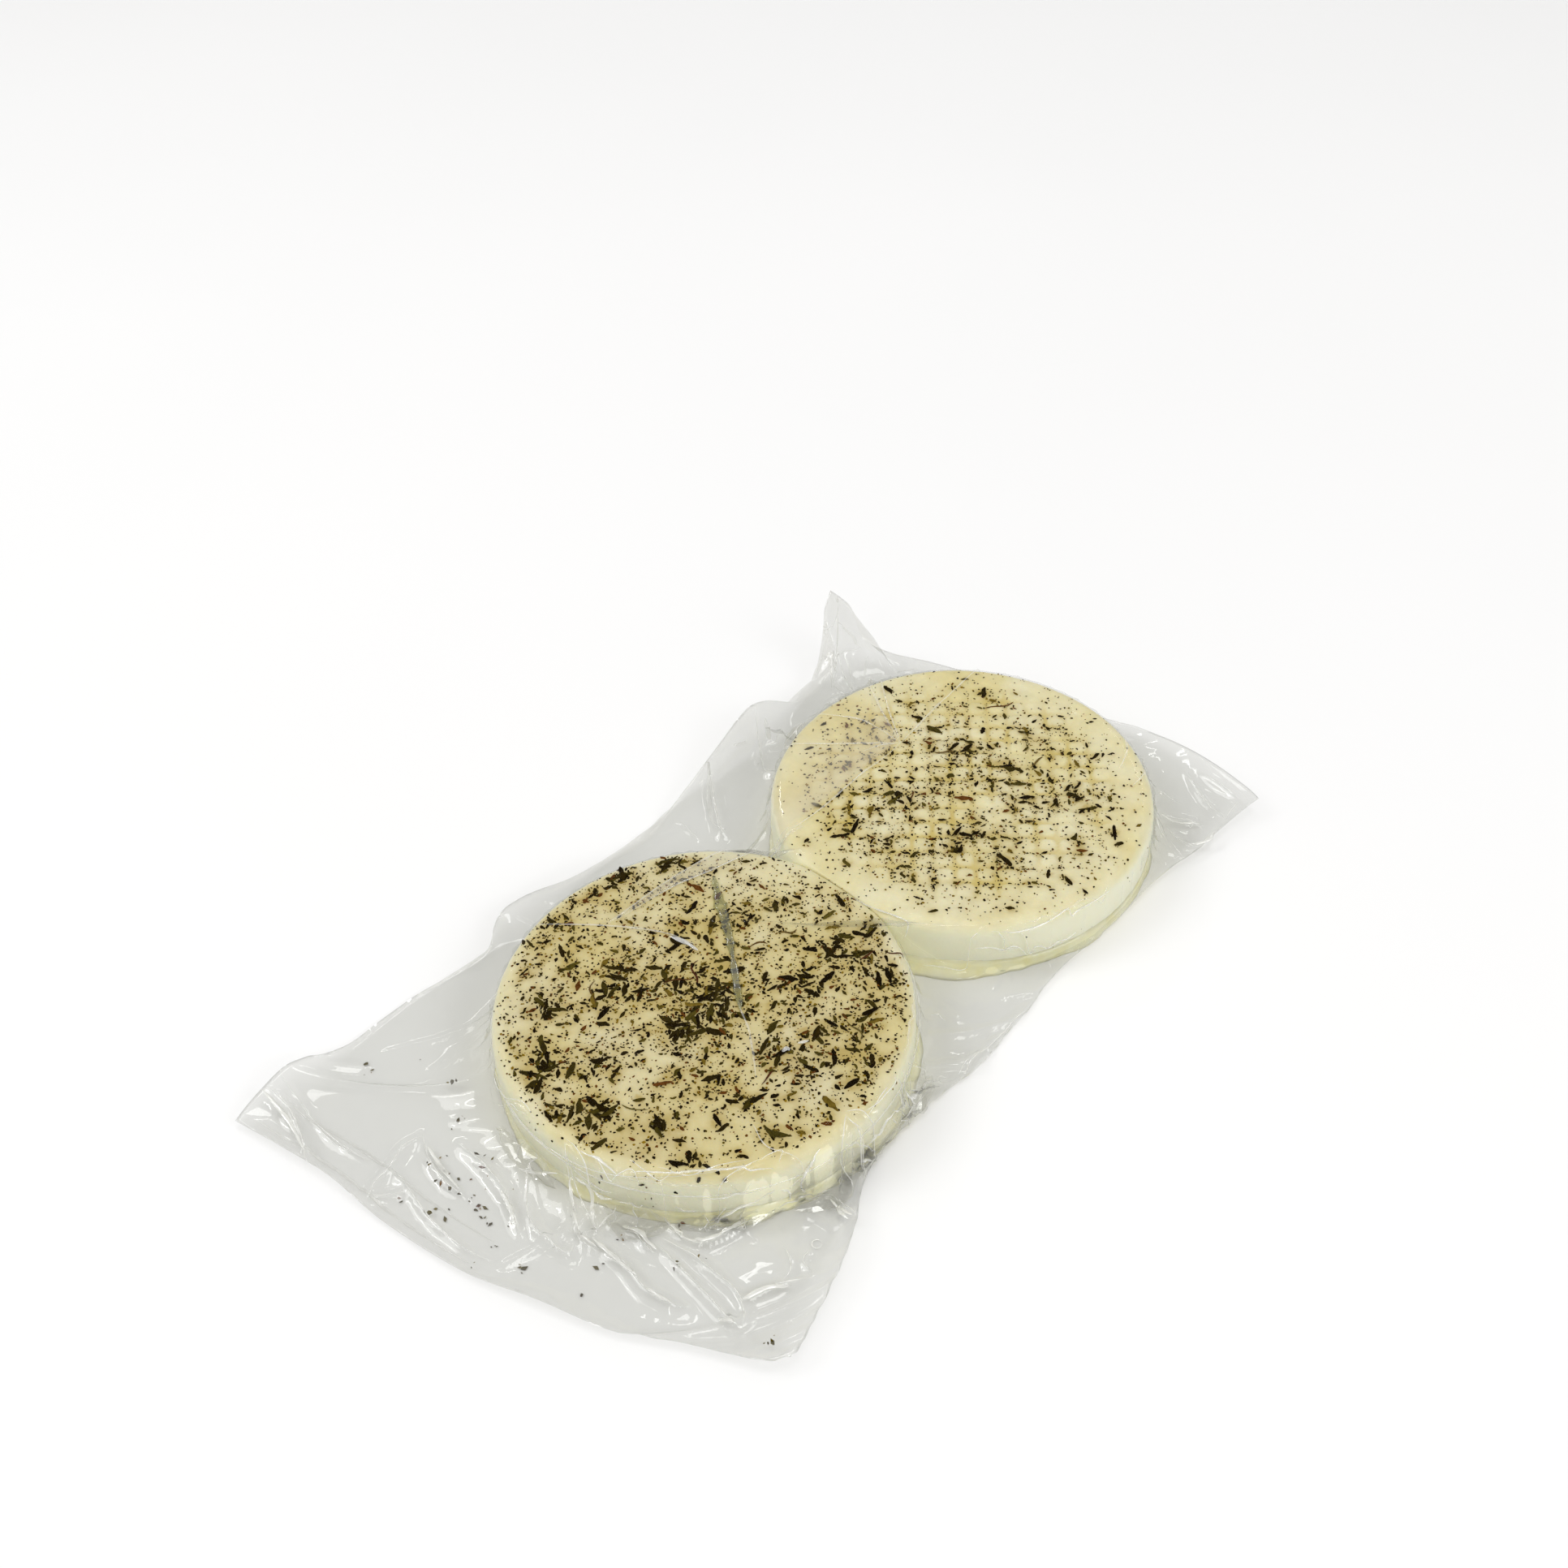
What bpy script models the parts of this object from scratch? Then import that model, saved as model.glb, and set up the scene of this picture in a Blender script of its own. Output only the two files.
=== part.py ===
"""Two round herbed frying cheeses, side by side in a clear vacuum pouch that lies flat."""
import math
import random

import bmesh
import bpy
from mathutils import Vector, noise
from mathutils.geometry import delaunay_2d_cdt

MM = 0.001
TURN = 2.0 * math.pi

# Cheeses
CHEESE_RADIUS = 55.0 * MM
CENTRE_DISTANCE = 105.0 * MM
CHEESE_TOP = 17.6 * MM
TOP_DOME = 0.5 * MM
TOP_UNEVENNESS = 0.35 * MM
TOP_HILLS_PER_METRE = 45.0
RIM_ROUND = 4.0 * MM
BASE_ROUND = 2.4 * MM
SIDE_BULGE = 0.25 * MM
CHEESE_SIDES = 72
OUT_OF_ROUND = 0.6 * MM

# Square dents that the draining mat left in the back cheese
MAT_PITCH = 5.8 * MM
MAT_DEPTH = 0.55 * MM
MAT_TURN = math.radians(-49.0)
MAT_REACH = (38.0 * MM, 47.0 * MM)

# Leaf flakes that stand out of the tops
LEAF_LENGTH = (4.4 * MM, 7.0 * MM)
LEAF_WIDTH = 1.9 * MM
LEAF_RISE = 0.8 * MM
LEAF_LIFT = 0.1 * MM
LEAF_TILT = (0.2, 0.06)
FRONT_LEAVES = 74
BACK_LEAVES = 46
LEAF_REACH = 49.0 * MM
BARE_BEYOND = 24.0 * MM
BARE_SHARE = 0.26

# Pouch
SHEET = 0.8 * MM
GAP = 0.3 * MM
SKIRT_TOP = 14.5 * MM
FOOT_WIDTH = (6.0 * MM, 9.6 * MM)
NOTCH_BLEND = 6.0 * MM
EDGE_STEP = 5.0 * MM
MESH_STEP = 8.0 * MM
EDGE_REACH = 13.0 * MM
EDGE_CLEARANCE = 1.6 * MM
RIDGE_STEP = 6.0 * MM
RIDGE_CLEARANCE = 2.5 * MM
GRID_CLEARANCE = 4.5 * MM
RIPPLE = 0.6 * MM
RIPPLES_PER_METRE = 60.0
RIPPLE_REACH = (6.0 * MM, 16.0 * MM)
SKIRT_SIDES = 48
INNER_WALL = (0.45 * MM, 0.85 * MM, 1.5 * MM)
SKIRT_RINGS = (2.5 * MM, 4.2 * MM, 7.0 * MM)

# The skirt that clings to the cheeses: distance from their side, and height there
SKIRT = [(0.85, 14.5), (1.5, 14.5), (2.5, 8.0), (4.2, 4.0), (7.0, 1.9), (10.0, 1.0), (13.0, 0.8)]

# The pouch's edge, anticlockwise from the back right corner: x and y from the point where
# the cheeses touch, and how far the edge lifts off the floor, in millimetres
BACK_END = [(116, -61, 6), (121, -44, 7), (121, -20, 5), (116, 8, 4), (106, 46, 4)]
RAISED_CORNER = [(92, 68, 10), (90, 77, 24), (87, 82, 29), (82, 80, 22), (79, 73, 12)]
LEFT_EDGE = [(68, 70, 7), (56, 69, 9), (41, 73, 16), (25, 72, 10), (4, 69, 4), (-15, 66, 1),
             (-40, 69, 4), (-61, 72, 8), (-73, 66, 3), (-88, 69, 1), (-104, 70, 1), (-120, 69.5, 2)]
FRONT_END = [(-134, 73, 8), (-143, 72.5, 7), (-152.5, 70, 3), (-150, 56, 4), (-146.5, 38, 4), (-145, 18, 2),
             (-141, -7, 3), (-135, -26, 5), (-129, -43, 4), (-121, -56, 4), (-112, -74, 5)]
RIGHT_EDGE = [(-106, -80, 5), (-98, -79, 5), (-79, -73, 6), (-66, -66, 5), (-50, -60.5, 3), (-30, -59, 1),
              (-10, -59, 1), (12, -57, 1), (36, -57.5, 2), (56, -58.5, 2), (74, -58, 2), (92, -59, 4)]

# Folds in the film: points along each ridge with their heights, then its half width
FOLDS = [
    ([(-124, 30, 6), (-124, 11, 4), (-124, -8, 2)], 9),
    ([(-144, 27, 5), (-139, 5, 6), (-135, -9, 3)], 9),
    ([(-106, -7, 3), (-115, -25, 4), (-113, -46, 4), (-108, -65, 4)], 9),
    ([(-98, -62, 6), (-93, -70, 7), (-79, -60, 4)], 9),
    ([(-134, 72, 9), (-126, 57, 6), (-114, 36, 4), (-103, 17, 3)], 10),
    ([(-102, 65, 5), (-93, 62, 5)], 8),
    ([(-62, 71, 9), (-56, 58, 13)], 6),
    ([(6, 66, 6), (3, 48, 4)], 7),
    ([(41, 72, 17), (49, 56, 16)], 7),
    ([(86, 81, 29), (79, 66, 19), (73, 54, 16)], 9),
    ([(99, -43, 5), (114, -59, 7)], 6),
    ([(-60, -60, 5), (-50, -57, 13)], 5),
    ([(-73, -66, 7), (-68, -56, 12)], 5),
]

# Colours
CHEESE_YELLOW = (0.72, 0.66, 0.40, 1.0)
FILM_GREY = (0.76, 0.77, 0.77, 1.0)


def clear_scene():
    for thing in list(bpy.data.objects):
        bpy.data.objects.remove(thing, do_unlink=True)


def plain_material(name, colour, roughness):
    material = bpy.data.materials.new(name)
    material.use_nodes = True
    shader = material.node_tree.nodes["Principled BSDF"]
    shader.inputs["Base Color"].default_value = colour
    shader.inputs["Roughness"].default_value = roughness
    shader.inputs["Metallic"].default_value = 0.0
    material.diffuse_color = colour
    return material


def smooth_step(low, high, value):
    t = min(max((value - low) / (high - low), 0.0), 1.0)
    return t * t * (3.0 - 2.0 * t)


def curve_through(points, step):
    """Closed smooth curve through the points, sampled about one step apart."""
    count = len(points)
    curve = []
    for i in range(count):
        before, start, end, after = (Vector(points[(i + k - 1) % count]) for k in range(4))
        pieces = max(1, round((end.xy - start.xy).length / step))
        for k in range(pieces):
            t = k / pieces
            bend = (2 * before - 5 * start + 4 * end - after) * t * t
            twist = (3 * start - before - 3 * end + after) * t ** 3
            curve.append((2 * start + (end - before) * t + bend + twist) / 2)
    return curve


class Cheese:
    """One cheese's place and outline, seen from above."""

    def __init__(self, side):
        self.side = side
        self.centre = Vector((side * CENTRE_DISTANCE / 2, 0.0))

    def radius(self, angle):
        wobble = math.sin(2 * angle + 0.7 + self.side) + 0.6 * math.sin(3 * angle - 1.1 * self.side)
        return CHEESE_RADIUS + OUT_OF_ROUND * wobble / 1.6 * abs(math.sin(angle))

    def distance(self, x, y):
        away = Vector((x, y)) - self.centre
        return away.length - self.radius(math.atan2(away.y, away.x))

    def pressed(self, x):
        """x held back from the flat where the two cheeses press on each other."""
        limit = GAP / 2
        return max(x, limit) if self.side > 0 else min(x, -limit)


FRONT = Cheese(-1)
BACK = Cheese(1)


def pouch_outline():
    listed = BACK_END + RAISED_CORNER + LEFT_EDGE + FRONT_END + RIGHT_EDGE
    return curve_through([Vector(point) * MM for point in listed], EDGE_STEP)


OUTLINE = pouch_outline()
LOWEST = Vector((min(p.x for p in OUTLINE), min(p.y for p in OUTLINE), 0.0))
HIGHEST = Vector((max(p.x for p in OUTLINE), max(p.y for p in OUTLINE), 0.0))
POUCH_BOX = HIGHEST - LOWEST
MIDDLE = (HIGHEST + LOWEST) / 2


def side_distance(x, y):
    """Distance outside both cheeses, blended in the notches between them."""
    front = FRONT.distance(x, y)
    back = BACK.distance(x, y)
    blend = max(NOTCH_BLEND - abs(front - back), 0.0) / NOTCH_BLEND
    return min(front, back) - blend * blend * NOTCH_BLEND / 4


def skirt_height(away):
    away /= MM
    if away <= SKIRT[0][0]:
        return SKIRT_TOP
    for (near, high), (far, low) in zip(SKIRT, SKIRT[1:]):
        if away <= far:
            return (high + (low - high) * (away - near) / (far - near)) * MM
    return SKIRT[-1][1] * MM


def fold_height(x, y):
    """Height of the highest fold over a point."""
    best = 0.0
    point = Vector((x, y))
    for ridge, half_width in FOLDS:
        stations = [Vector(station) * MM for station in ridge]
        for start, end in zip(stations, stations[1:]):
            run = end.xy - start.xy
            t = min(max((point - start.xy).dot(run) / run.length_squared, 0.0), 1.0)
            away = (point - start.xy - run * t).length / (half_width * MM)
            height = start.z + (end.z - start.z) * t
            best = max(best, height * max(0.0, 1.0 - away) ** 1.2)
    return best


def edge_height(x, y):
    """The lift of the nearest edge, fading inwards."""
    nearest = min(OUTLINE, key=lambda p: (p.x - x) ** 2 + (p.y - y) ** 2)
    away = math.hypot(nearest.x - x, nearest.y - y)
    return nearest.z * math.exp(-((away / EDGE_REACH) ** 1.5))


def film_height(x, y):
    """Upper face of the pouch's sheet."""
    away = side_distance(x, y)
    loose = max(fold_height(x, y), edge_height(x, y))
    ripple = RIPPLE * (1.0 + noise.noise(Vector((x, y, 0.0)) * RIPPLES_PER_METRE))
    return max(skirt_height(away), SHEET + loose + ripple * smooth_step(*RIPPLE_REACH, away))


def under_height(x, y, top):
    """Lower face: flat by the cheeses, then a sheet's thickness below the upper face."""
    free = smooth_step(*FOOT_WIDTH, side_distance(x, y))
    return max(0.0, top - SHEET) * free


def side_point(cheese, angle, level):
    """Point on a ray from the cheese's centre where the side distance has the given value."""
    ray = Vector((math.cos(angle), math.sin(angle)))
    low = cheese.radius(angle) - MM
    high = low + 3 * level + 4 * MM
    for _ in range(40):
        middle = (low + high) / 2
        place = cheese.centre + ray * middle
        if side_distance(place.x, place.y) < level:
            low = middle
        else:
            high = middle
    place = cheese.centre + ray * high
    own_side = place.x * cheese.side > 0.0
    reached = abs(side_distance(place.x, place.y) - level) < 0.01 * MM
    return place if own_side and reached else None


def side_ring(level, sides):
    """Closed ring round both cheeses at one distance from their sides."""
    ring = []
    for cheese, first in ((FRONT, 0.0), (BACK, math.pi)):
        for k in range(sides):
            place = side_point(cheese, first + TURN * (k + 0.5) / sides, level)
            if place is not None:
                ring.append(place)
    return ring


def inside(x, y, ring):
    crossings = 0
    for a, b in zip(ring, ring[1:] + ring[:1]):
        if (a.y > y) != (b.y > y) and x < a.x + (b.x - a.x) * (y - a.y) / (b.y - a.y):
            crossings += 1
    return crossings % 2 == 1


def closed_edges(first, count):
    return [(first + k, first + (k + 1) % count) for k in range(count)]


def triangulate(rings, loose):
    """Flat triangles over the rings, whose edges are kept, and the loose points."""
    points = []
    edges = []
    for ring in rings:
        edges += closed_edges(len(points), len(ring))
        points += [Vector((p.x, p.y)) for p in ring]
    points += loose
    result = delaunay_2d_cdt(points, edges, [], 1, 1e-6)
    return result[0], [tuple(face) for face in result[2]]


def spaced(candidates, taken, gap):
    kept = []
    for place in candidates:
        if all((place - other).length > gap for other in taken + kept):
            kept.append(place)
    return kept


def ridge_points():
    points = []
    for stations, _ in FOLDS:
        for start, end in zip(stations, stations[1:]):
            low = Vector(start[:2]) * MM
            high = Vector(end[:2]) * MM
            pieces = max(1, round((high - low).length / RIDGE_STEP))
            points += [low.lerp(high, k / pieces) for k in range(pieces + 1)]
    return points


def grid_points():
    """Staggered rows over the pouch's whole box."""
    rows = math.ceil(0.5 * POUCH_BOX[1] / MESH_STEP) + 3
    columns = math.ceil(0.5 * POUCH_BOX[0] / MESH_STEP) + 4
    points = []
    for row in range(-rows, rows + 1):
        for column in range(-columns, columns + 1):
            points.append(Vector((column + 0.5 * (row % 2), row * math.sqrt(0.75))) * MESH_STEP)
    return points


def pouch_points():
    """Rings on the skirt, points on the ridges, and a staggered grid over the rest."""
    rings = [[Vector((p.x, p.y)) for p in OUTLINE]]
    rings += [side_ring(level, SKIRT_SIDES) for level in INNER_WALL]
    edge = rings[0]
    taken = [p for ring in rings for p in ring]
    skirt = [p for level in SKIRT_RINGS for p in side_ring(level, SKIRT_SIDES) if inside(p.x, p.y, edge)]
    loose = spaced(skirt, edge, EDGE_CLEARANCE)
    ridges = [p for p in ridge_points() if inside(p.x, p.y, edge)]
    ridges = [p for p in ridges if side_distance(p.x, p.y) > SKIRT_RINGS[0]]
    loose += spaced(ridges, taken + loose, RIDGE_CLEARANCE)
    grid = [p for p in grid_points() if inside(p.x, p.y, edge) and side_distance(p.x, p.y) > SKIRT_RINGS[2]]
    loose += spaced(grid, taken + loose, GRID_CLEARANCE)
    return rings, loose


def closed_sheet(name, places, faces, tops, unders, material):
    """Closed solid between two heights over the same flat triangles."""
    mesh = bmesh.new()
    upper = [mesh.verts.new(Vector((p.x, p.y, z)) - MIDDLE) for p, z in zip(places, tops)]
    lower = [mesh.verts.new(Vector((p.x, p.y, z)) - MIDDLE) for p, z in zip(places, unders)]
    for a, b, c in faces:
        mesh.faces.new((upper[a], upper[b], upper[c]))
        mesh.faces.new((lower[c], lower[b], lower[a]))
    sides = {}
    for face in faces:
        for a, b in zip(face, face[1:] + face[:1]):
            sides[(a, b)] = sides.get((a, b), 0) + 1
    for a, b in sides:
        if (b, a) not in sides:
            mesh.faces.new((upper[b], upper[a], lower[a], lower[b]))
    return finish_object(name, mesh, material)


def finish_object(name, mesh, material):
    bmesh.ops.recalc_face_normals(mesh, faces=mesh.faces)
    data = bpy.data.meshes.new(name)
    mesh.to_mesh(data)
    mesh.free()
    data.materials.append(material)
    data.shade_smooth()
    data.set_sharp_from_angle(angle=math.radians(50))
    thing = bpy.data.objects.new(name, data)
    bpy.context.scene.collection.objects.link(thing)
    return thing


def make_pouch(material):
    rings, loose = pouch_points()
    places, faces = triangulate(rings, loose)
    tray_edge = (INNER_WALL[0] + INNER_WALL[1]) / 2
    tops = []
    unders = []
    for place in places:
        in_tray = side_distance(place.x, place.y) < tray_edge
        tops.append(SHEET if in_tray else film_height(place.x, place.y))
        unders.append(under_height(place.x, place.y, tops[-1]))
    return closed_sheet("pouch", places, faces, tops, unders, material)


def mat_dent(cheese, x, y):
    """Depth of the mat's grooves at a point on the back cheese's top."""
    if cheese.side < 0:
        return 0.0
    away = Vector((x, y)) - cheese.centre
    along = away.x * math.cos(MAT_TURN) + away.y * math.sin(MAT_TURN)
    across = away.y * math.cos(MAT_TURN) - away.x * math.sin(MAT_TURN)
    bump = math.cos(math.pi * along / MAT_PITCH) ** 2 * math.cos(math.pi * across / MAT_PITCH) ** 2
    fade = 1.0 - smooth_step(*MAT_REACH, away.length)
    return MAT_DEPTH * (1.0 - bump) * fade


def top_height(cheese, x, y):
    away = (Vector((x, y)) - cheese.centre).length / CHEESE_RADIUS
    unevenness = TOP_UNEVENNESS * noise.noise(Vector((x, y, cheese.side)) * TOP_HILLS_PER_METRE)
    return CHEESE_TOP + TOP_DOME * (1.0 - away * away) + unevenness - mat_dent(cheese, x, y)


def rim_profile():
    """Side of a cheese from the top's edge down: inset from its outline, and height."""
    base = SHEET + GAP
    profile = []
    for k in range(1, 4):
        angle = math.pi / 2 * k / 3
        profile.append((RIM_ROUND * (1 - math.sin(angle)), CHEESE_TOP - RIM_ROUND * (1 - math.cos(angle))))
    profile.append((-SIDE_BULGE, (CHEESE_TOP + base) / 2))
    for k in range(0, 3):
        angle = math.pi / 2 * k / 2
        profile.append((BASE_ROUND * (1 - math.cos(angle)), base + BASE_ROUND * (1 - math.sin(angle))))
    return profile


def cheese_ring(cheese, inset):
    ring = []
    for k in range(CHEESE_SIDES):
        angle = TURN * k / CHEESE_SIDES
        reach = cheese.radius(angle) - inset
        place = cheese.centre + Vector((math.cos(angle), math.sin(angle))) * reach
        ring.append(Vector((cheese.pressed(place.x), place.y)))
    return ring


def top_points(cheese, step):
    """Grid over the top, turned with the mat, so that each dent has a middle and a rim."""
    points = []
    reach = math.ceil(CHEESE_RADIUS / step)
    for row in range(-reach, reach + 1):
        for column in range(-reach, reach + 1):
            along, across = column * step, row * step
            away = Vector((along * math.cos(MAT_TURN) - across * math.sin(MAT_TURN),
                           along * math.sin(MAT_TURN) + across * math.cos(MAT_TURN)))
            if away.length < CHEESE_RADIUS - RIM_ROUND - 0.6 * step:
                points.append(cheese.centre + away)
    return points


def make_cheese(cheese, name, step, material):
    top_ring = cheese_ring(cheese, RIM_ROUND)
    places, faces = triangulate([top_ring], top_points(cheese, step))
    mesh = bmesh.new()
    top = [mesh.verts.new(Vector((p.x, p.y, top_height(cheese, p.x, p.y))) - MIDDLE) for p in places]
    for a, b, c in faces:
        mesh.faces.new((top[a], top[b], top[c]))
    above = top[:CHEESE_SIDES]
    for inset, height in rim_profile():
        ring = cheese_ring(cheese, inset)
        below = [mesh.verts.new(Vector((p.x, p.y, height)) - MIDDLE) for p in ring]
        for k in range(CHEESE_SIDES):
            after = (k + 1) % CHEESE_SIDES
            mesh.faces.new((above[k], below[k], below[after], above[after]))
        above = below
    mesh.faces.new(above)
    bmesh.ops.triangulate(mesh, faces=[f for f in mesh.faces if len(f.verts) > 3])
    return finish_object(name, mesh, material)


def leaf_mesh(name, length, width, rise):
    """A dried leaf as a spindle, pointed at both ends."""
    mesh = bmesh.new()
    rings = []
    for station in (-0.25, 0.05, 0.32):
        girth = math.sqrt(1.0 - (2 * station) ** 2)
        ring = []
        for k in range(6):
            angle = TURN * k / 6
            ring.append(mesh.verts.new((station * length, math.cos(angle) * girth * width / 2,
                                        math.sin(angle) * girth * rise)))
        rings.append(ring)
    tips = [mesh.verts.new((-length / 2, 0, 0)), mesh.verts.new((length / 2, 0, 0))]
    for k in range(6):
        after = (k + 1) % 6
        mesh.faces.new((tips[0], rings[0][after], rings[0][k]))
        mesh.faces.new((tips[1], rings[2][k], rings[2][after]))
        for ring, onward in zip(rings, rings[1:]):
            mesh.faces.new((ring[k], ring[after], onward[after], onward[k]))
    bmesh.ops.recalc_face_normals(mesh, faces=mesh.faces)
    bmesh.ops.triangulate(mesh, faces=mesh.faces)
    data = bpy.data.meshes.new(name)
    mesh.to_mesh(data)
    mesh.free()
    return data


def leaf_places(cheese, count, draws):
    """Sunflower order spreads the leaves evenly; the back cheese has none on its far side."""
    seats = count if cheese.side < 0 else round(count / (1.0 - BARE_SHARE))
    places = []
    for order in range(seats):
        reach = LEAF_REACH * math.sqrt((order + 0.5) / seats)
        angle = order * math.pi * (3 - math.sqrt(5)) + draws.uniform(-0.08, 0.08)
        away = Vector((math.cos(angle), math.sin(angle))) * reach
        if cheese.side < 0 or away.x < BARE_BEYOND:
            places.append(cheese.centre + away)
    return places


def add_leaves(thing, cheese, count, seed):
    draws = random.Random(seed)
    leaves = bpy.data.collections.new(thing.name + "_leaves")
    bpy.context.scene.collection.children.link(leaves)
    for place in leaf_places(cheese, count, draws):
        length = draws.uniform(*LEAF_LENGTH)
        leaf = bpy.data.objects.new("leaf", leaf_mesh("leaf", length, LEAF_WIDTH, LEAF_RISE))
        height = top_height(cheese, place.x, place.y) + LEAF_LIFT
        leaf.location = Vector((place.x, place.y, height)) - MIDDLE
        roll, pitch = (draws.uniform(-tilt, tilt) for tilt in LEAF_TILT)
        leaf.rotation_euler = (roll, pitch, draws.uniform(0, math.pi))
        leaves.objects.link(leaf)
    fuse(thing, leaves)
    for leaf in list(leaves.objects):
        bpy.data.objects.remove(leaf, do_unlink=True)
    bpy.data.collections.remove(leaves)


def fuse(thing, collection):
    """One union of the object with all that the collection holds, applied to its mesh."""
    join = thing.modifiers.new("leaves", "BOOLEAN")
    join.operation = "UNION"
    join.operand_type = "COLLECTION"
    join.collection = collection
    join.solver = "EXACT"
    bpy.context.view_layer.update()
    evaluated = thing.evaluated_get(bpy.context.evaluated_depsgraph_get())
    joined = bpy.data.meshes.new_from_object(evaluated)
    thing.modifiers.remove(join)
    old = thing.data
    thing.data = joined
    bpy.data.meshes.remove(old)


def build():
    clear_scene()
    cheese_finish = plain_material("cheese", CHEESE_YELLOW, 0.45)
    film_finish = plain_material("film", FILM_GREY, 0.15)
    make_pouch(film_finish)
    front = make_cheese(FRONT, "cheese_front", 2 * MAT_PITCH, cheese_finish)
    back = make_cheese(BACK, "cheese_back", MAT_PITCH / 2, cheese_finish)
    add_leaves(front, FRONT, FRONT_LEAVES, 11)
    add_leaves(back, BACK, BACK_LEAVES, 12)


build()
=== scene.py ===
"""Two round herbed frying cheeses in a clear vacuum pouch: their looks, built round the solids."""
import math
import random

import bmesh
import bpy
import numpy as np
from bpy.props import FloatProperty, FloatVectorProperty, IntProperty, PointerProperty
from mathutils import Matrix, Vector, noise
from mathutils.bvhtree import BVHTree


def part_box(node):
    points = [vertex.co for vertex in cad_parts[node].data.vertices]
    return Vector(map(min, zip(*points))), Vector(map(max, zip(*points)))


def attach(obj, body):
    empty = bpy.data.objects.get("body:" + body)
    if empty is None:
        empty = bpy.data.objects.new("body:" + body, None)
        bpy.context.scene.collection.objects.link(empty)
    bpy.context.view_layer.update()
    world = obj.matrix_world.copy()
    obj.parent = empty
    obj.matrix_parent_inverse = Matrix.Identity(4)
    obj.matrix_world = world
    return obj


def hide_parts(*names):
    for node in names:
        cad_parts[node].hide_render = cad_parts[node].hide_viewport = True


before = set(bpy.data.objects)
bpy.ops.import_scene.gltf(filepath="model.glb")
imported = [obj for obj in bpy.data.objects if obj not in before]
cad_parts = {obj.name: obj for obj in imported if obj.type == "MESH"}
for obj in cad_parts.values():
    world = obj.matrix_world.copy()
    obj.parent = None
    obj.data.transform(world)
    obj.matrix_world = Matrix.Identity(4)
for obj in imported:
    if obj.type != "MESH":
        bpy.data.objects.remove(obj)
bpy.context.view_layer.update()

bl_info = {
    "name": "Pouched frying cheese",
    "version": (1, 0, 0),
    "blender": (4, 5, 0),
    "location": "3D View > Sidebar > Cheese",
    "description": "Two herbed frying cheeses sealed in clear film",
    "category": "Add Mesh",
}

MM = 0.001
TURN = 2.0 * math.pi

# Where the two cheeses touch, in the frame, and in millimetres half the gap between them, half the gap
# between their pools of whey, half the way between their middles, and the height of their bases
FRONT_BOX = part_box("cheese_front")
BACK_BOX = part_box("cheese_back")
ROW_SHIFT = -0.875
HALF_GAP = 0.15
WHEY_GAP = 0.2
CONTACT = Vector(((FRONT_BOX[1].x + BACK_BOX[0].x) / 2, ROW_SHIFT * MM, 0.0))
HALF_SPACING = 52.5
CHEESE_BASE = FRONT_BOX[0].z / MM

# Cheese form, in millimetres, as in the solids
RADIUS = 55.0
TOP = 17.6
DOME = 0.5
UNEVENNESS = 0.35
HILLS_PER_MM = 0.045
RIM_ROUND = 4.0
BASE_ROUND = 2.4
BULGE = 0.25
OUT_OF_ROUND = 0.6
MAT_PITCH = 5.8
MAT_DEPTH = 0.55
MAT_TURN = math.radians(-49.0)
MAT_REACH = (38.0, 47.0)
SECTORS = 320
TOP_RINGS = 62
FINE_LUMP = 0.11

# Kept for the front cheese as -1 and the back one as 1: stain all over, painted shade on the side,
# then places with more or less stain (middle, reach, how much), and the angle of the widest pool of whey
STAIN_BASE = {-1: 0.25, 1: 0.02}
SIDE_PAINTED_SHADE = {-1: 0.09, 1: 0.0}
STAIN_SPOTS = {
    -1: ((-8.0, 11.0, 13.0, -0.2), (-96.0, -20.0, 10.0, 0.2)),
    1: ((18.0, -37.0, 13.0, 0.14),),
}
JUICE_POOLS = {-1: math.radians(283), 1: math.radians(222)}

# Pouch outline: x and y from where the cheeses touch, and lift off the floor, in millimetres
BACK_END = [(116, -61, 6), (121, -44, 7), (121, -20, 5), (116, 8, 4), (106, 46, 4), (92, 68, 10),
            (90, 77, 24), (87, 82, 29)]
LEFT_EDGE = [(-152.5, 70, 3), (-143, 72.5, 7), (-134, 73, 8), (-120, 69.5, 2), (-104, 70, 1),
             (-88, 69, 1), (-73, 66, 3), (-61, 72, 8), (-40, 69, 4), (-15, 66, 1), (4, 69, 4),
             (25, 72, 10), (41, 73, 16), (56, 69, 9), (68, 70, 7), (79, 73, 12), (82, 80, 22),
             (87, 82, 29)]
FRONT_END = [(-106, -80, 5), (-112, -74, 5), (-121, -56, 4), (-129, -43, 4), (-135, -26, 5),
             (-141, -7, 3), (-145, 18, 2), (-146.5, 38, 4), (-150, 56, 4), (-152.5, 70, 3)]
RIGHT_EDGE = [(-106, -80, 5), (-98, -79, 5), (-79, -73, 6), (-66, -66, 5), (-50, -60.5, 3),
              (-30, -59, 1), (-10, -59, 1), (12, -57, 1), (36, -57.5, 2), (56, -58.5, 2),
              (74, -58, 2), (92, -59, 4), (116, -61, 6)]

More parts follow.
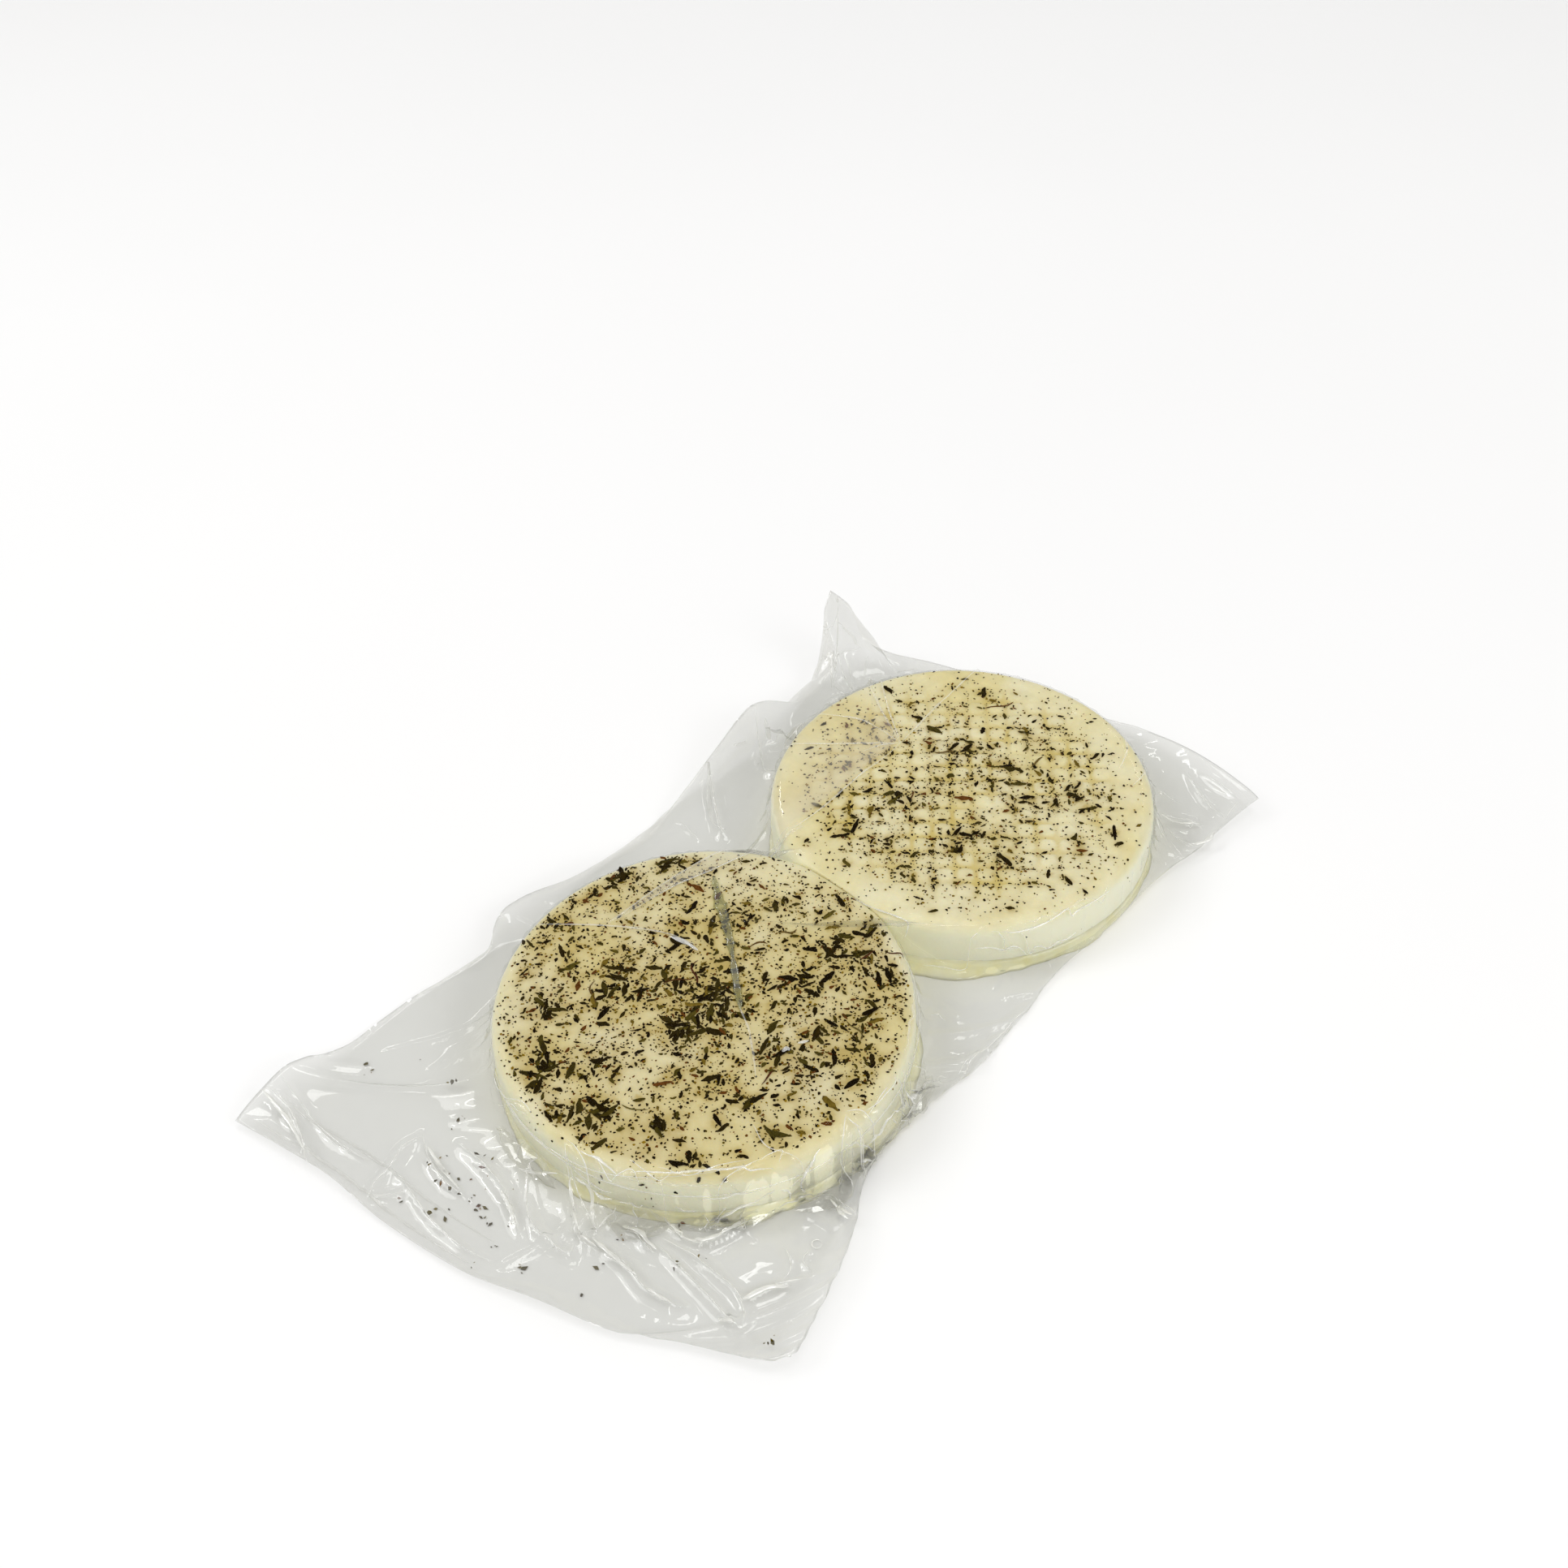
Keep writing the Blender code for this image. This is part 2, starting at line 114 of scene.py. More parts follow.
# Folds that the loose film starts from: points along each ridge with heights, then half width
FOLDS = [
    ([(-124, 30, 6), (-124, 11, 4), (-124, -8, 2)], 9),
    ([(-144, 27, 5), (-139, 5, 6), (-135, -9, 3)], 9),
    ([(-106, -7, 3), (-115, -25, 4), (-113, -46, 4), (-108, -65, 4)], 9),
    ([(-98, -62, 6), (-93, -70, 7), (-79, -60, 4)], 9),
    ([(-134, 72, 9), (-126, 57, 6), (-114, 36, 4), (-103, 17, 3)], 10),
    ([(-102, 65, 5), (-93, 62, 5)], 8),
    ([(-62, 71, 9), (-56, 58, 13)], 6),
    ([(6, 66, 6), (3, 48, 4)], 7),
    ([(41, 72, 17), (49, 56, 16)], 7),
    ([(86, 81, 29), (79, 66, 19), (73, 54, 16)], 9),
    ([(99, -43, 5), (114, -59, 7)], 6),
    ([(-60, -60, 5), (-50, -57, 13)], 5),
    ([(-73, -66, 7), (-68, -56, 12)], 5),
]

# Sharp ridges raised on the loose film afterwards: points in plan, height, half width
RIDGES = [
    ([(-142, 72.5), (-141, 63.5), (-144, 53), (-147.5, 46.5)], 2.4, 3.5),
    ([(-137, 71), (-138.5, 51.5), (-136.5, 36.5)], 0.8, 2.0),
    ([(-138.5, 60), (-139, 47), (-136, 36)], 0.7, 2.0),
    ([(-122.5, 32), (-126, 24.5), (-127.5, 16), (-127, 10)], 1.6, 2.8),
    ([(-118, 23), (-118, 12.5), (-120, 1.5), (-124.5, -8)], 2.0, 3.2),
    ([(-144, 26), (-140, 29), (-134.5, 30), (-128, 32.5), (-122.5, 32)], 1.6, 2.8),
    ([(-134, 31), (-134.5, 24), (-136.5, 11.5), (-136.5, -1), (-134, -9)], 1.5, 2.4),
    ([(-142.5, 27.5), (-140.5, 25), (-137.5, 22.5), (-134.5, 21.5)], 1.1, 2.4),
    ([(-112, 3), (-119, -4.5), (-121.5, -11.5), (-121.5, -17.5), (-120.5, -21.5),
      (-117.5, -20)], 1.8, 2.6),
    ([(-107.5, -8.5), (-109.5, -13.5), (-110.5, -17), (-112.5, -22)], 1.6, 2.4),
    ([(-114.5, -23.5), (-113.5, -33.5), (-115, -42.5), (-113.5, -49.5), (-112, -52)], 2.2, 3.0),
    ([(-104.5, -35), (-105.5, -45.5), (-106.5, -55.5), (-107.5, -64), (-107, -66)], 2.0, 2.5),
    ([(-107, -66), (-103, -62.5), (-101, -57.5), (-101, -51.5), (-101, -44.5), (-102.5, -34.5)], 2.0, 2.5),
    ([(-102, -60.5), (-96.5, -62.5), (-92, -64.5), (-88, -67.5)], 1.4, 2.8),
    ([(-84.5, -58), (-87.5, -63), (-91, -64)], 1.2, 2.4),
    ([(-101.5, 27.5), (-105, 20.5), (-106.5, 14.5), (-105.5, 9), (-106.5, 4.5)], 1.5, 2.2),
    ([(-107, 19), (-107.5, 12), (-107, 6)], 1.5, 2.0),
    ([(-104, -15), (-105, -21), (-101, -24.5), (-101.5, -27.5)], 1.8, 2.2),
    ([(-99.5, -22.5), (-98.5, -31), (-95, -32.5)], 1.5, 2.0),
    ([(-96.5, -28.5), (-93, -36), (-86.5, -39.5), (-80.5, -43.5)], 1.2, 2.0),
    ([(-72.5, -37), (-75, -44.5), (-71.5, -53)], 1.5, 2.2),
    ([(-32, -51.5), (-33.5, -55), (-29, -54.5), (-24, -55.5), (-20.5, -57)], 1.8, 2.4),
    ([(-19.5, -57), (-12.5, -57), (-2, -57), (10, -56.5), (20.5, -57.5)], 1.2, 2.6),
    ([(-50, -59.5), (-45, -59.5), (-37.5, -59.5), (-30, -59.5), (-24.5, -58.5), (-17.5, -58),
      (-7.5, -57)], 1.3, 2.4),
    ([(-35, -52.5), (-37.5, -56.5), (-34.5, -57), (-28, -55.5)], 1.8, 2.2),
    ([(-51.5, -54.5), (-46.5, -55), (-39.5, -54), (-38.5, -52.5)], 1.8, 2.2),
    ([(-56.5, -52.5), (-56, -55), (-53.5, -57)], 1.6, 2.0),
    ([(-55.5, -54.5), (-56.5, -58), (-57, -61.5)], 1.8, 2.2),
    ([(-55.5, -57), (-57.5, -60), (-62.5, -65), (-63.5, -66.5)], 1.8, 2.6),
    ([(-67, -56.5), (-67, -61), (-68, -66)], 1.4, 2.4),
    ([(-79, -45.5), (-75.5, -46.5), (-73.5, -48), (-76, -49)], 1.3, 2.0),
    ([(0, -30), (4.5, -33), (8.5, -36), (13.5, -38.5)], 1.0, 2.0),
    ([(-11, -41.5), (-8.5, -42), (-8, -44)], 0.8, 1.8),
    ([(-81.5, -63), (-84.5, -64), (-85.5, -68)], 1.2, 2.4),
    ([(114, -38), (111, -43), (108, -49), (106, -54.5), (104.5, -57)], 1.0, 2.0),
    ([(116, -42), (115, -50), (113.5, -56)], 1.0, 2.0),
    ([(103.5, -57.5), (108, -57), (112.5, -56.5)], 0.8, 1.8),
    ([(93.5, -42.5), (96.5, -46.5), (99, -49.5), (98.5, -53)], 1.2, 2.2),
    ([(91, -46.5), (89, -51.5), (88.5, -56), (90, -58)], 1.4, 2.2),
    ([(90, -57.5), (92.5, -59), (97.5, -59), (101.5, -58.5)], 1.2, 2.2),
    ([(100, -36), (101, -38.5), (101.5, -42), (103, -43)], 1.2, 2.0),
    ([(88.5, -43.5), (86.5, -47), (86, -50)], 1.2, 2.2),
    ([(22, 73), (12, 61.5), (4.5, 51), (4.5, 48.5)], 2.2, 3.6),
    ([(38, 73.5), (31, 74), (22.5, 72)], 1.6, 3.0),
    ([(-0.5, 64.5), (-1.5, 55)], 1.0, 2.2),
    ([(43, 74), (34.5, 63), (32, 58.5), (34, 53.5), (40, 53), (49, 58)], 1.4, 2.4),
    ([(39.5, 67.5), (43.5, 65.5), (50, 66.5)], 1.2, 2.2),
    ([(85, 77.5), (82, 72.5), (76.5, 61.5), (75, 56), (68, 46.5)], 1.4, 2.2),
    ([(69.5, 69), (74.5, 65.5), (79.5, 62.5)], 1.4, 2.0),
    ([(74.5, 71.5), (81.5, 75), (89.5, 80.5)], 1.2, 1.8),
    ([(76.5, 74.5), (74, 63.5), (68, 54)], 1.2, 2.0),
    ([(-106, -6.5), (-109, -10), (-113, -15.5), (-116, -20), (-115.5, -26.5)], 1.6, 2.0),
    ([(-105.5, -6.5), (-105.5, -9.5), (-106.5, -14), (-109, -17.5), (-111.5, -22)], 1.4, 1.8),
    ([(-107.5, -26), (-106.5, -28), (-106, -30), (-106.5, -33), (-106.5, -36.5)], 1.4, 2.0),
    ([(-98, -31), (-99.5, -35), (-99, -40), (-97.5, -43), (-92.5, -45), (-87.5, -46.5),
      (-82, -48.5)], 1.6, 2.2),
    ([(-93.5, -41), (-91.5, -42), (-87.5, -42.5), (-83, -44), (-78.5, -45.5)], 1.4, 2.0),
    ([(-32.5, -52), (-29.5, -52.5), (-27, -53.5), (-25, -55), (-23.5, -57)], 1.8, 2.2),
    ([(-42, -53.5), (-46.5, -54.5), (-51.5, -55.5)], 1.6, 1.8),
    ([(-39, -53), (-38, -54.5), (-38.5, -56.5)], 1.4, 1.8),
    ([(-55, -51.5), (-52.5, -54), (-52, -56.5), (-52, -59.5)], 2.0, 2.0),
    ([(-55.5, -52), (-60, -55), (-64, -57.5)], 2.2, 2.0),
    ([(-57, -60), (-54, -60), (-50.5, -60.5), (-43.5, -61), (-38.5, -61), (-31, -61),
      (-24, -61.5)], 1.4, 2.2),
    ([(-58, -59.5), (-60, -62.5), (-62, -64.5), (-64, -66)], 1.6, 2.0),
    ([(-72, -52.5), (-71, -54.5), (-68.5, -55.5), (-66, -57.5)], 1.4, 1.8),
    ([(-69, -58.5), (-69.5, -61.5), (-69, -64.5)], 1.6, 2.0),
]


def bubble_ring(x, y, reach):
    """Points round the rim of a small air bubble, back to the first."""
    angles = [-TURN * (k + 1) / 8 for k in range(9)]
    return [(x + reach * math.cos(angle), y + reach * math.sin(angle)) for angle in angles]


# Painted highlights: short white lines on sharp bends of the film, and round the ring of one air bubble:
# points, width
PAINTED_GLINTS = [
    ([(-44, 21.5), (-43, 18), (-42.5, 14.5)], 1.1),
    ([(-42.5, 18), (-42.5, 14), (-42.5, 12)], 0.9),
    ([(-47.5, -28.5), (-45, -30)], 0.8),
    ([(-52, -27.5), (-50.5, -27.5), (-50.5, -28.5)], 1.1),
    (bubble_ring(-78.6, -62.9, 1.2), 0.3),
    ([(22, 73.5), (12.5, 64.5), (5.5, 55.5), (5.5, 50.5)], 1.2),
    ([(35, 76), (39, 74.5)], 1.0),
    ([(45, 71.5), (42.5, 67.5)], 1.3),
    ([(78.5, 75.5), (75, 71)], 1.0),
    ([(93, -42.5), (95.5, -47), (100.5, -52.5)], 0.8),
    ([(89.5, -55.5), (93.5, -58.5), (98, -58)], 1.1),
    ([(99.5, -37.5), (100.5, -38)], 1.4),
    ([(-124, 28), (-125.5, 20.5), (-126.5, 12.5)], 1.0),
    ([(-120, 4), (-122, -2), (-124, -6)], 1.2),
    ([(-143, 71), (-143, 60.5), (-146, 49)], 1.1),
    ([(-101.5, -60.5), (-96, -62.5), (-91.5, -66)], 1.3),
    ([(-113.5, -21.5), (-114, -30), (-114, -38)], 1.1),
    ([(-108.5, -59.5), (-107.5, -64)], 1.1),
    ([(-113.5, -49), (-115, -42)], 1.0),
]

# White lines on the film, painted highlights where it bends round the foot and up the raised corner:
# points, width, milk
PAINTED_TRACED_HIGHLIGHTS = [
    ([(-113, 5, 2.5), (-112.5, 2, 4), (-111, -0.5, 4), (-109.5, -3.5, 5.5), (-109, -5.5, 6.5)], 1, 1),
    ([(-108, -10.5, 9.5), (-109.5, -10.5, 8), (-111.5, -13.5, 5), (-114.5, -17.5, 5), (-115.5, -19.5, 2.5),
      (-115, -22, 1.5), (-115, -25.5, 1.5)], 0.8, 0.9),
    ([(-108, -11, 9.5), (-108, -14.5, 10.5), (-107.5, -16, 7.5), (-109, -17.5, 5), (-111.5, -20.5, 4.5),
      (-112, -22, 1.5)], 0.9, 0.9),
    ([(-107, -16, 8), (-106.5, -18, 7), (-106, -22, 9)], 0.8, 1.1),
    ([(-106, -23, 6.5), (-106.5, -22, 4), (-108.5, -21, 2), (-111, -21, 1.5)], 0.7, 1),
    ([(-106.5, -25, 1), (-105.5, -27.5, 1), (-105, -29.5, 1), (-105.5, -33, 1.5),
      (-105.5, -36, 1)], 1.1, 1.1),
    ([(-99.5, -32.5, 5), (-99, -33, 2), (-99, -36, 2), (-99, -39.5, 2), (-97.5, -42.5, 2.5),
      (-95, -44, 2.5), (-90.5, -45.5, 2.5), (-83, -46.5, 0.5), (-77.5, -49.5, 2)], 0.9, 1),
    ([(-92.5, -40, 1), (-91, -41.5, 2), (-89.5, -43.5, 5.5), (-86.5, -44.5, 6.5), (-83, -46.5, 6.5),
      (-80, -48, 8.5), (-78, -49, 9.5)], 0.9, 1),
    ([(-91.5, -41, 1.5), (-90, -42, 4.5), (-89.5, -44, 9)], 0.6, 0.8),
    ([(-101.5, -25, 18), (-100, -27, 18.5), (-97.5, -29.5, 18), (-95, -33, 18.5), (-92, -35.5, 18),
      (-89.5, -38.5, 19), (-85, -42, 18), (-81, -46, 17.5), (-77.5, -48.5, 16.5)], 0.6, 0.9),
    ([(-105.5, -11.5, 18), (-104.5, -14.5, 17.5), (-104, -18, 17.5), (-103.5, -21, 16.5),
      (-103.5, -22.5, 16.5)], 0.6, 0.9),
    ([(-93, -38, 10.5), (-90.5, -41, 11), (-88, -44.5, 13), (-84, -45.5, 11), (-80.5, -48, 11),
      (-78.5, -49, 12)], 0.5, 0.7),
    ([(-105, -23.5, 8.5), (-103, -26, 7.5), (-101.5, -28, 7.5)], 0.5, 0.6),
    ([(-96.5, -33.5, 7), (-95.5, -36, 6.5), (-93.5, -38, 6)], 0.5, 0.7),
    ([(-66, -53, 16.5), (-68.5, -53, 15.5), (-70.5, -53, 13), (-72.5, -52.5, 11), (-72.5, -52.5, 6.5),
      (-71.5, -53, 4)], 0.7, 0.9),
    ([(-74.5, -51, 8.5), (-73.5, -52, 10.5), (-73, -53, 12)], 0.6, 0.8),
    ([(-77, -50, 8.5), (-76, -50.5, 8), (-75, -51, 6.5), (-75, -51, 4), (-75.5, -50.5, 3.5)], 1, 1.2),
    ([(-77.5, -49.5, 1.5), (-76.5, -50.5, 2.5), (-75.5, -51, 2.5), (-73.5, -52, 2.5), (-73, -52.5, 4),
      (-69.5, -53.5, 1.5), (-67, -54.5, 0.5), (-64.5, -55.5, 0.5)], 0.7, 0.9),
    ([(-67.5, -57.5, 1.5), (-68, -60, 1.5), (-68.5, -62.5, 3), (-68.5, -65.5, 4)], 0.8, 1),
    ([(-68, -60, 1), (-69.5, -63, 3), (-69.5, -65, 3)], 1.2, 1.2),
    ([(-60.5, -56.5, 16), (-61, -56.5, 10.5), (-62, -56, 3.5), (-64.5, -57.5, 1.5)], 0.5, 0.7),
    ([(-60.5, -56.5, 16), (-56, -57, 11.5), (-52.5, -57.5, 6), (-50.5, -58, 3)], 0.5, 0.6),
    ([(-56.5, -56.5, 4), (-55.5, -57, 4), (-53, -58, 2.5)], 1.1, 1.2),
    ([(-57, -59.5, 3.5), (-44.5, -57, 1.5), (-40.5, -56, 1.5), (-39, -57, 5), (-36.5, -57, 7)], 0.6, 0.7),
    ([(-53.5, -56.5, 7.5), (-52, -58, 11), (-49.5, -57, 9), (-46.5, -57, 12.5),
      (-44, -57.5, 13)], 0.7, 0.9),
    ([(-45, -57.5, 14.5), (-40.5, -56, 8.5), (-39, -57, 5.5)], 0.7, 0.9),
    ([(-44.5, -57, 10), (-42.5, -56.5, 5.5)], 0.7, 1.1),
    ([(-41, -56, 16), (-40.5, -56.5, 12.5), (-38.5, -56.5, 7)], 0.6, 0.8),
    ([(-35.5, -54, 9), (-35.5, -56, 7.5), (-35, -56.5, 6)], 0.9, 1.2),
    ([(-34.5, -54.5, 6.5), (-33, -55.5, 6.5)], 1.5, 1.2),
    ([(-35, -54, 9), (-30.5, -54, 5.5), (-28, -54.5, 6), (-23.5, -55, 3.5)], 0.6, 0.8),
    ([(88, 80, 26), (88, 79.5, 24)], 1, 0.26),
    ([(88.5, 79.5, 23.5), (87.5, 79.5, 19.5), (86.5, 79.5, 17.5), (85, 80, 15.5), (80.5, 77.5, 15.5),
      (78.5, 78, 10.5), (75, 76.5, 7.5), (72.5, 76.5, 5.5)], 0.6, 0.18),
    ([(81.5, 79.5, 20.5), (81.5, 78.5, 19.5), (84, 80.5, 14.5)], 1.1, 0.24),
    ([(87.5, 79, 16.5), (88.5, 78, 14.5), (89.5, 76.5, 12.5), (90.5, 75, 10.5), (90.5, 74, 8.5),
      (91, 72.5, 7.5)], 1.3, 0.26),
    ([(76.5, 75, 9.5), (77, 74.5, 10), (78.5, 73.5, 11), (84.5, 76, 7), (87, 75.5, 7), (89.5, 73.5, 7),
      (91, 72.5, 7.5)], 0.9, 0.24),
    ([(78, 77.5, 9.5), (77.5, 76, 10), (76.5, 74.5, 9.5)], 0.9, 0.22),
    ([(85.5, 75.5, 6.5), (85.5, 73.5, 4), (84.5, 71.5, 2), (83, 70, 1)], 0.7, 0.1),
    ([(78.5, 73, 11.5), (81.5, 75.5, 4.5), (80, 73.5, 2.5)], 0.7, 0.09),
    ([(92, 70, 5), (90, 69.5, 3.5), (87.5, 67.5, 1.5), (85.5, 66.5, 0.5)], 0.7, 0.09),
    ([(94, 59.5, 2.5), (96.5, 59, 1.5), (98.5, 57.5, 1.5), (100, 56, 2)], 0.8, 0.2),
]

# Painted highlights, white lines where the film leaves a rim: side, then angle in degrees and way down
# over the rim
PAINTED_RIM_HIGHLIGHTS = [
    (1, [(-132.5, 3.5), (-126.5, 4.5), (-122, 4.5), (-117, 4), (-112, 3), (-109, 2.5), (-108.5, 5),
         (-106.5, 4), (-101, 4), (-94, 4)]),
    (1, [(-130.5, 4), (-129, 6.5), (-128.5, 10), (-125.5, 10.5), (-124.5, 10.5)]),
    (1, [(-125, 4.5), (-123, 6.5), (-122, 10.5), (-121, 14.5), (-120, 12), (-118, 12), (-115.5, 14),
         (-112.5, 12.5), (-110, 13), (-106.5, 12)]),
    (1, [(-137, 9), (-132.5, 9), (-129, 10.5), (-126.5, 9.5), (-124, 11), (-122, 14.5)]),
    (1, [(-174, 1.5), (-170, 2), (-161, 2), (-157, 2.5), (-156, 3), (-156, 6), (-157, 8.5)]),
    (-1, [(176, 9), (-176.5, 8), (-165, 6.5), (-152, 3.5), (-137, 1.5), (-125, 1)]),
    (-1, [(-170.5, 6), (-169, 9.5), (-162, 12.5), (-159, 12)]),
]

# Flakes on the side of the front round: angle round it, then how far down from the flat top
SIDE_FLAKES = [(-161.5, 7.5), (-162.5, 10.5), (-152.5, 4), (-150.5, 6), (-147.5, 3), (-150, 11.5),
               (-148.5, 11), (-147.5, 13), (-142, 7.5), (-138, 9.5), (-136, 3.5), (-135, 12.5),
               (-128.5, 10.5), (-127.5, 12.5), (-123.5, 15), (-129.5, 4), (-146.5, 4), (-131, 2)]

# Crumpled places at the foot of the front round: angle from and to, reach outward, climb up the side
TENTS = [(-161.0, -144.0, 7.5, 7.0), (-143.0, -116.0, 3.5, 4.5), (-113.0, -90.0, 7.0, 13.0),
         (-90.0, -62.0, 6.0, 12.0), (162.0, 186.0, 4.0, 8.0)]
TENT_ROWS = 6

# The film's flat size along its right edge, middle and left edge, and across
SHEET_RIGHT = 248.0
SHEET_MIDDLE = 283.0
SHEET_LEFT = 262.0
SHEET_WIDTH = 160.0

# How the film is relaxed, coarse to fine: grid, steps, sweeps, vacuum, stiffness
LEVELS = [
    ((72, 41), 260, 12, 0.10, 0.10),
    ((143, 81), 90, 12, 0.05, 0.06),
    ((285, 161), 34, 12, 0.025, 0.05),
]

# The upper film's gap over what it covers, and the height at which it meets the tops
FILM_GAP = 0.25
PRESSED_TOP = 17.9

# The film before it is relaxed: height and reach of the dome over each cheese. Then its most speed,
# how far out its skirt is drawn in, and how high the lower film lies.
START_HEIGHT = 22.0
START_REACH = 66.0
MOST_SPEED = 1.5
SKIRT_REACH = 14.0
FLOOR_GAP = 0.12

# Inner size of the loose film, by which its edge is told from its middle
LOOSE_LENGTH = 268.0
UPPER_WIDTH = 150.0
LOWER_WIDTH = 140.0

# The film's finish: mirror straight on, where it is loose and at a slant, then haze over the cheese
MIRROR_SHARE = 0.004
LOOSE_MIRROR = 0.11
SLANT_MIRROR = 0.5
WARM_MILK = (0.92, 0.85, 0.66, 1.0)

# How much wider the painted glints and traced highlight lines are made than listed
PAINTED_HIGHLIGHT_GIRTH = 1.4

# Dense tufts of herbs on each top
FRONT_TUFTS = [(-22, 41), (-37, 48), (-48, 54), (-62, 50), (-69, 50), (-15, 8), (-27, 12), (-17, -14),
               (-19, -19), (-16, -28), (-60, 23), (-69, 18), (-50, -1), (-61, -2), (-55, -7),
               (-31, -16), (-31, -35), (-83, 29), (-65, -6), (-85, 5), (-95, 12), (-95, -7),
               (-103, 1), (-104, -11), (-55, -26), (-52, -35), (-69, -31), (-70, -23), (-92, -32),
               (-87, -21), (-71, -45), (-44, -31), (-42, -42)]
BACK_TUFTS = [(35, 17), (38, 5), (36, -14), (42, -16), (39, 11), (67, -6), (84, -2), (69, -27),
              (69, -34), (59, -20), (26, -12), (20, 4), (36, -29), (64, 12), (67, 6), (10, -19),
              (22, -38), (18, 14), (49, 4), (62, -45), (92, 22)]
DARK_TUFTS = [(-55, -7), (-50, -1), (-61, -2), (-31, -16), (-95, 12), (-92, -7), (-37, 48), (-22, 41)]

# Stems on the tops
STEM_SPOTS = [(-21.5, -0.5), (-30.5, 1.5), (-13.5, -22), (-9, -27.5), (-53, 8.5), (-47.5, 7), (-70, 22),
              (-88, -12), (-60, -30), (-35, -36), (42, 8), (60, 12), (75, -10), (88, 14)]

# Loose crumbs that fell into the front margin
CRUMB_SPOTS = [(-107.5, 39), (-113, 28), (-122.5, 24), (-116, 15.5), (-117.5, 12), (-116.5, 4.5),
               (-127.5, 24.5), (-126.5, 18.5), (-128.5, 14.5), (-127.5, 19), (-127.5, 11.5), (-127, 8),
               (-131.5, 9), (-126.5, 5), (-126, 2), (-127, -1), (-125, -5), (-135, 12.5), (-130.5, -6),
               (-137.5, -6.5), (-129.5, -15), (-124.5, -32.5), (-110, -27), (-105.5, -35), (-97.5, -35),
               (-99, -44.5), (-105.5, -43), (-102, -72), (-105.5, -73.5), (-138, 21.5), (-118, -29),
               (-108, 52), (-119, 60), (-124, 14), (-121, 8)]

# Kinds of flakes on a top: reach from its middle, then length, width, thickness and how proud they lie
LEAVES = (52.0, (2.2, 6.2), (0.8, 1.8), 0.34, 0.05)
SHREDS = (53.0, (0.9, 2.9), (0.4, 1.0), 0.3, 0.04)
SPECKS = (53.5, (0.3, 1.1), (0.26, 0.75), 0.28, 0.04)
HERB_TONES = [0.02, 0.08, 0.14, 0.2, 0.28, 0.36, 0.45, 0.55, 0.65, 0.8, 0.97]

# Cell of the tally by which the curd is stained
STAIN_CELL = 0.5

# The two edges of the doubled fold that runs from the notch over the front cheese
FOLD_LOWER = [(10, 22.7), (-4.2, 26.0), (-18.1, 29.9), (-31.4, 34.0), (-51.5, 37)]
FOLD_UPPER = [(10, 24.6), (-3.6, 29.3), (-11.2, 33.4), (-30.1, 36.6), (-52, 37.6)]

# Creases pressed into the film over the tops: points, then width at the middle, the grey pinches first
PINCHES = 2
TOP_CREASES = [
    ([(-20.5, 28), (-26, 20.5), (-32, 11.5), (-38, 3.5)], 3.8),
    ([(-36, 6), (-41, 0), (-45, -5), (-49.5, -10.5)], 2.4),
    ([(-66, 53), (-59, 45), (-52.5, 37), (-47, 29), (-43.5, 22), (-41.5, 14)], 1.3),
    ([(-48, -8), (-53, -17), (-62, -28)], 1.2),
    ([(8, 24), (-4, 26.5), (-18, 30), (-31.5, 34), (-50, 36.5)], 1.0),
    ([(8, 25.5), (-3.5, 29.5), (-11, 33.5), (-30, 36.5), (-50, 37)], 1.0),
    ([(55, 25), (46, 24.5), (38, 25), (20, 24), (8, 24.5)], 1.2),
    ([(55, 25), (75, 27.5), (101, 30)], 1.2),
    ([(55, 25), (62, 38), (70, 51.5)], 1.4),
    ([(55, 25), (66, 40), (77.5, 53.5)], 1.2),
    ([(55, 25), (55.5, 33), (55, 41.5), (48.5, 53)], 1.2),
    ([(54, 26), (47, 34), (41.5, 40), (31.5, 51.5)], 1.2),
    ([(55, 25), (50, 29), (45, 31)], 1.0),
    ([(88, -30), (96, -27), (103, -21)], 1.0),
    ([(84, -37), (92, -36), (99, -31), (104, -27)], 1.0),
]


def smooth_step(low, high, value):
    t = np.clip((value - low) / (high - low), 0.0, 1.0)
    return t * t * (3.0 - 2.0 * t)


def in_frame(x, y, z):
    """A point given in millimetres from where the cheeses touch, in the frame."""
    return (CONTACT.x + x * MM, CONTACT.y + y * MM, z * MM)


def new_object(name, data):
    thing = bpy.data.objects.new(name, data)
    bpy.context.scene.collection.objects.link(thing)
    return thing


def mesh_object(name, points, faces, material, smooth=True):
    """A mesh object from points in millimetres."""
    data = bpy.data.meshes.new(name)
    data.from_pydata([in_frame(*p) for p in points], [], faces)
    data.materials.append(material)
    if smooth:
        data.shade_smooth()
    data.update()
    return new_object(name, data)


def store(data, name, values, kind="FLOAT", domain="POINT"):
    """Keeps a number or a vector for each point or face of the mesh."""
    attribute = data.attributes.new(name, kind, domain)
    field = "vector" if kind == "FLOAT_VECTOR" else "value"
    attribute.data.foreach_set(field, np.asarray(values, np.float32).ravel())


def place_piece(thing, slot, *nodes):
    """A finished piece rides on the part's one body and may stand for solids."""
    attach(thing, "root")
    if nodes:
        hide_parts(*nodes)


class Nodes:
    """A node tree with short ways to add and join nodes."""

    def add(self, kind, inputs=None, **settings):
        node = self.tree.nodes.new(kind)
        for key, value in settings.items():
            setattr(node, key, value)
        for key, value in (inputs or {}).items():
            self.feed(node.inputs[key], value)
        return node

    def step(self, kind, inputs=None, **settings):
        """Adds a node and hands over its first output."""
        return self.add(kind, inputs, **settings).outputs[0]

    def feed(self, socket, value):
        if isinstance(value, bpy.types.NodeSocket):
            self.tree.links.new(value, socket)
        else:
            socket.default_value = value


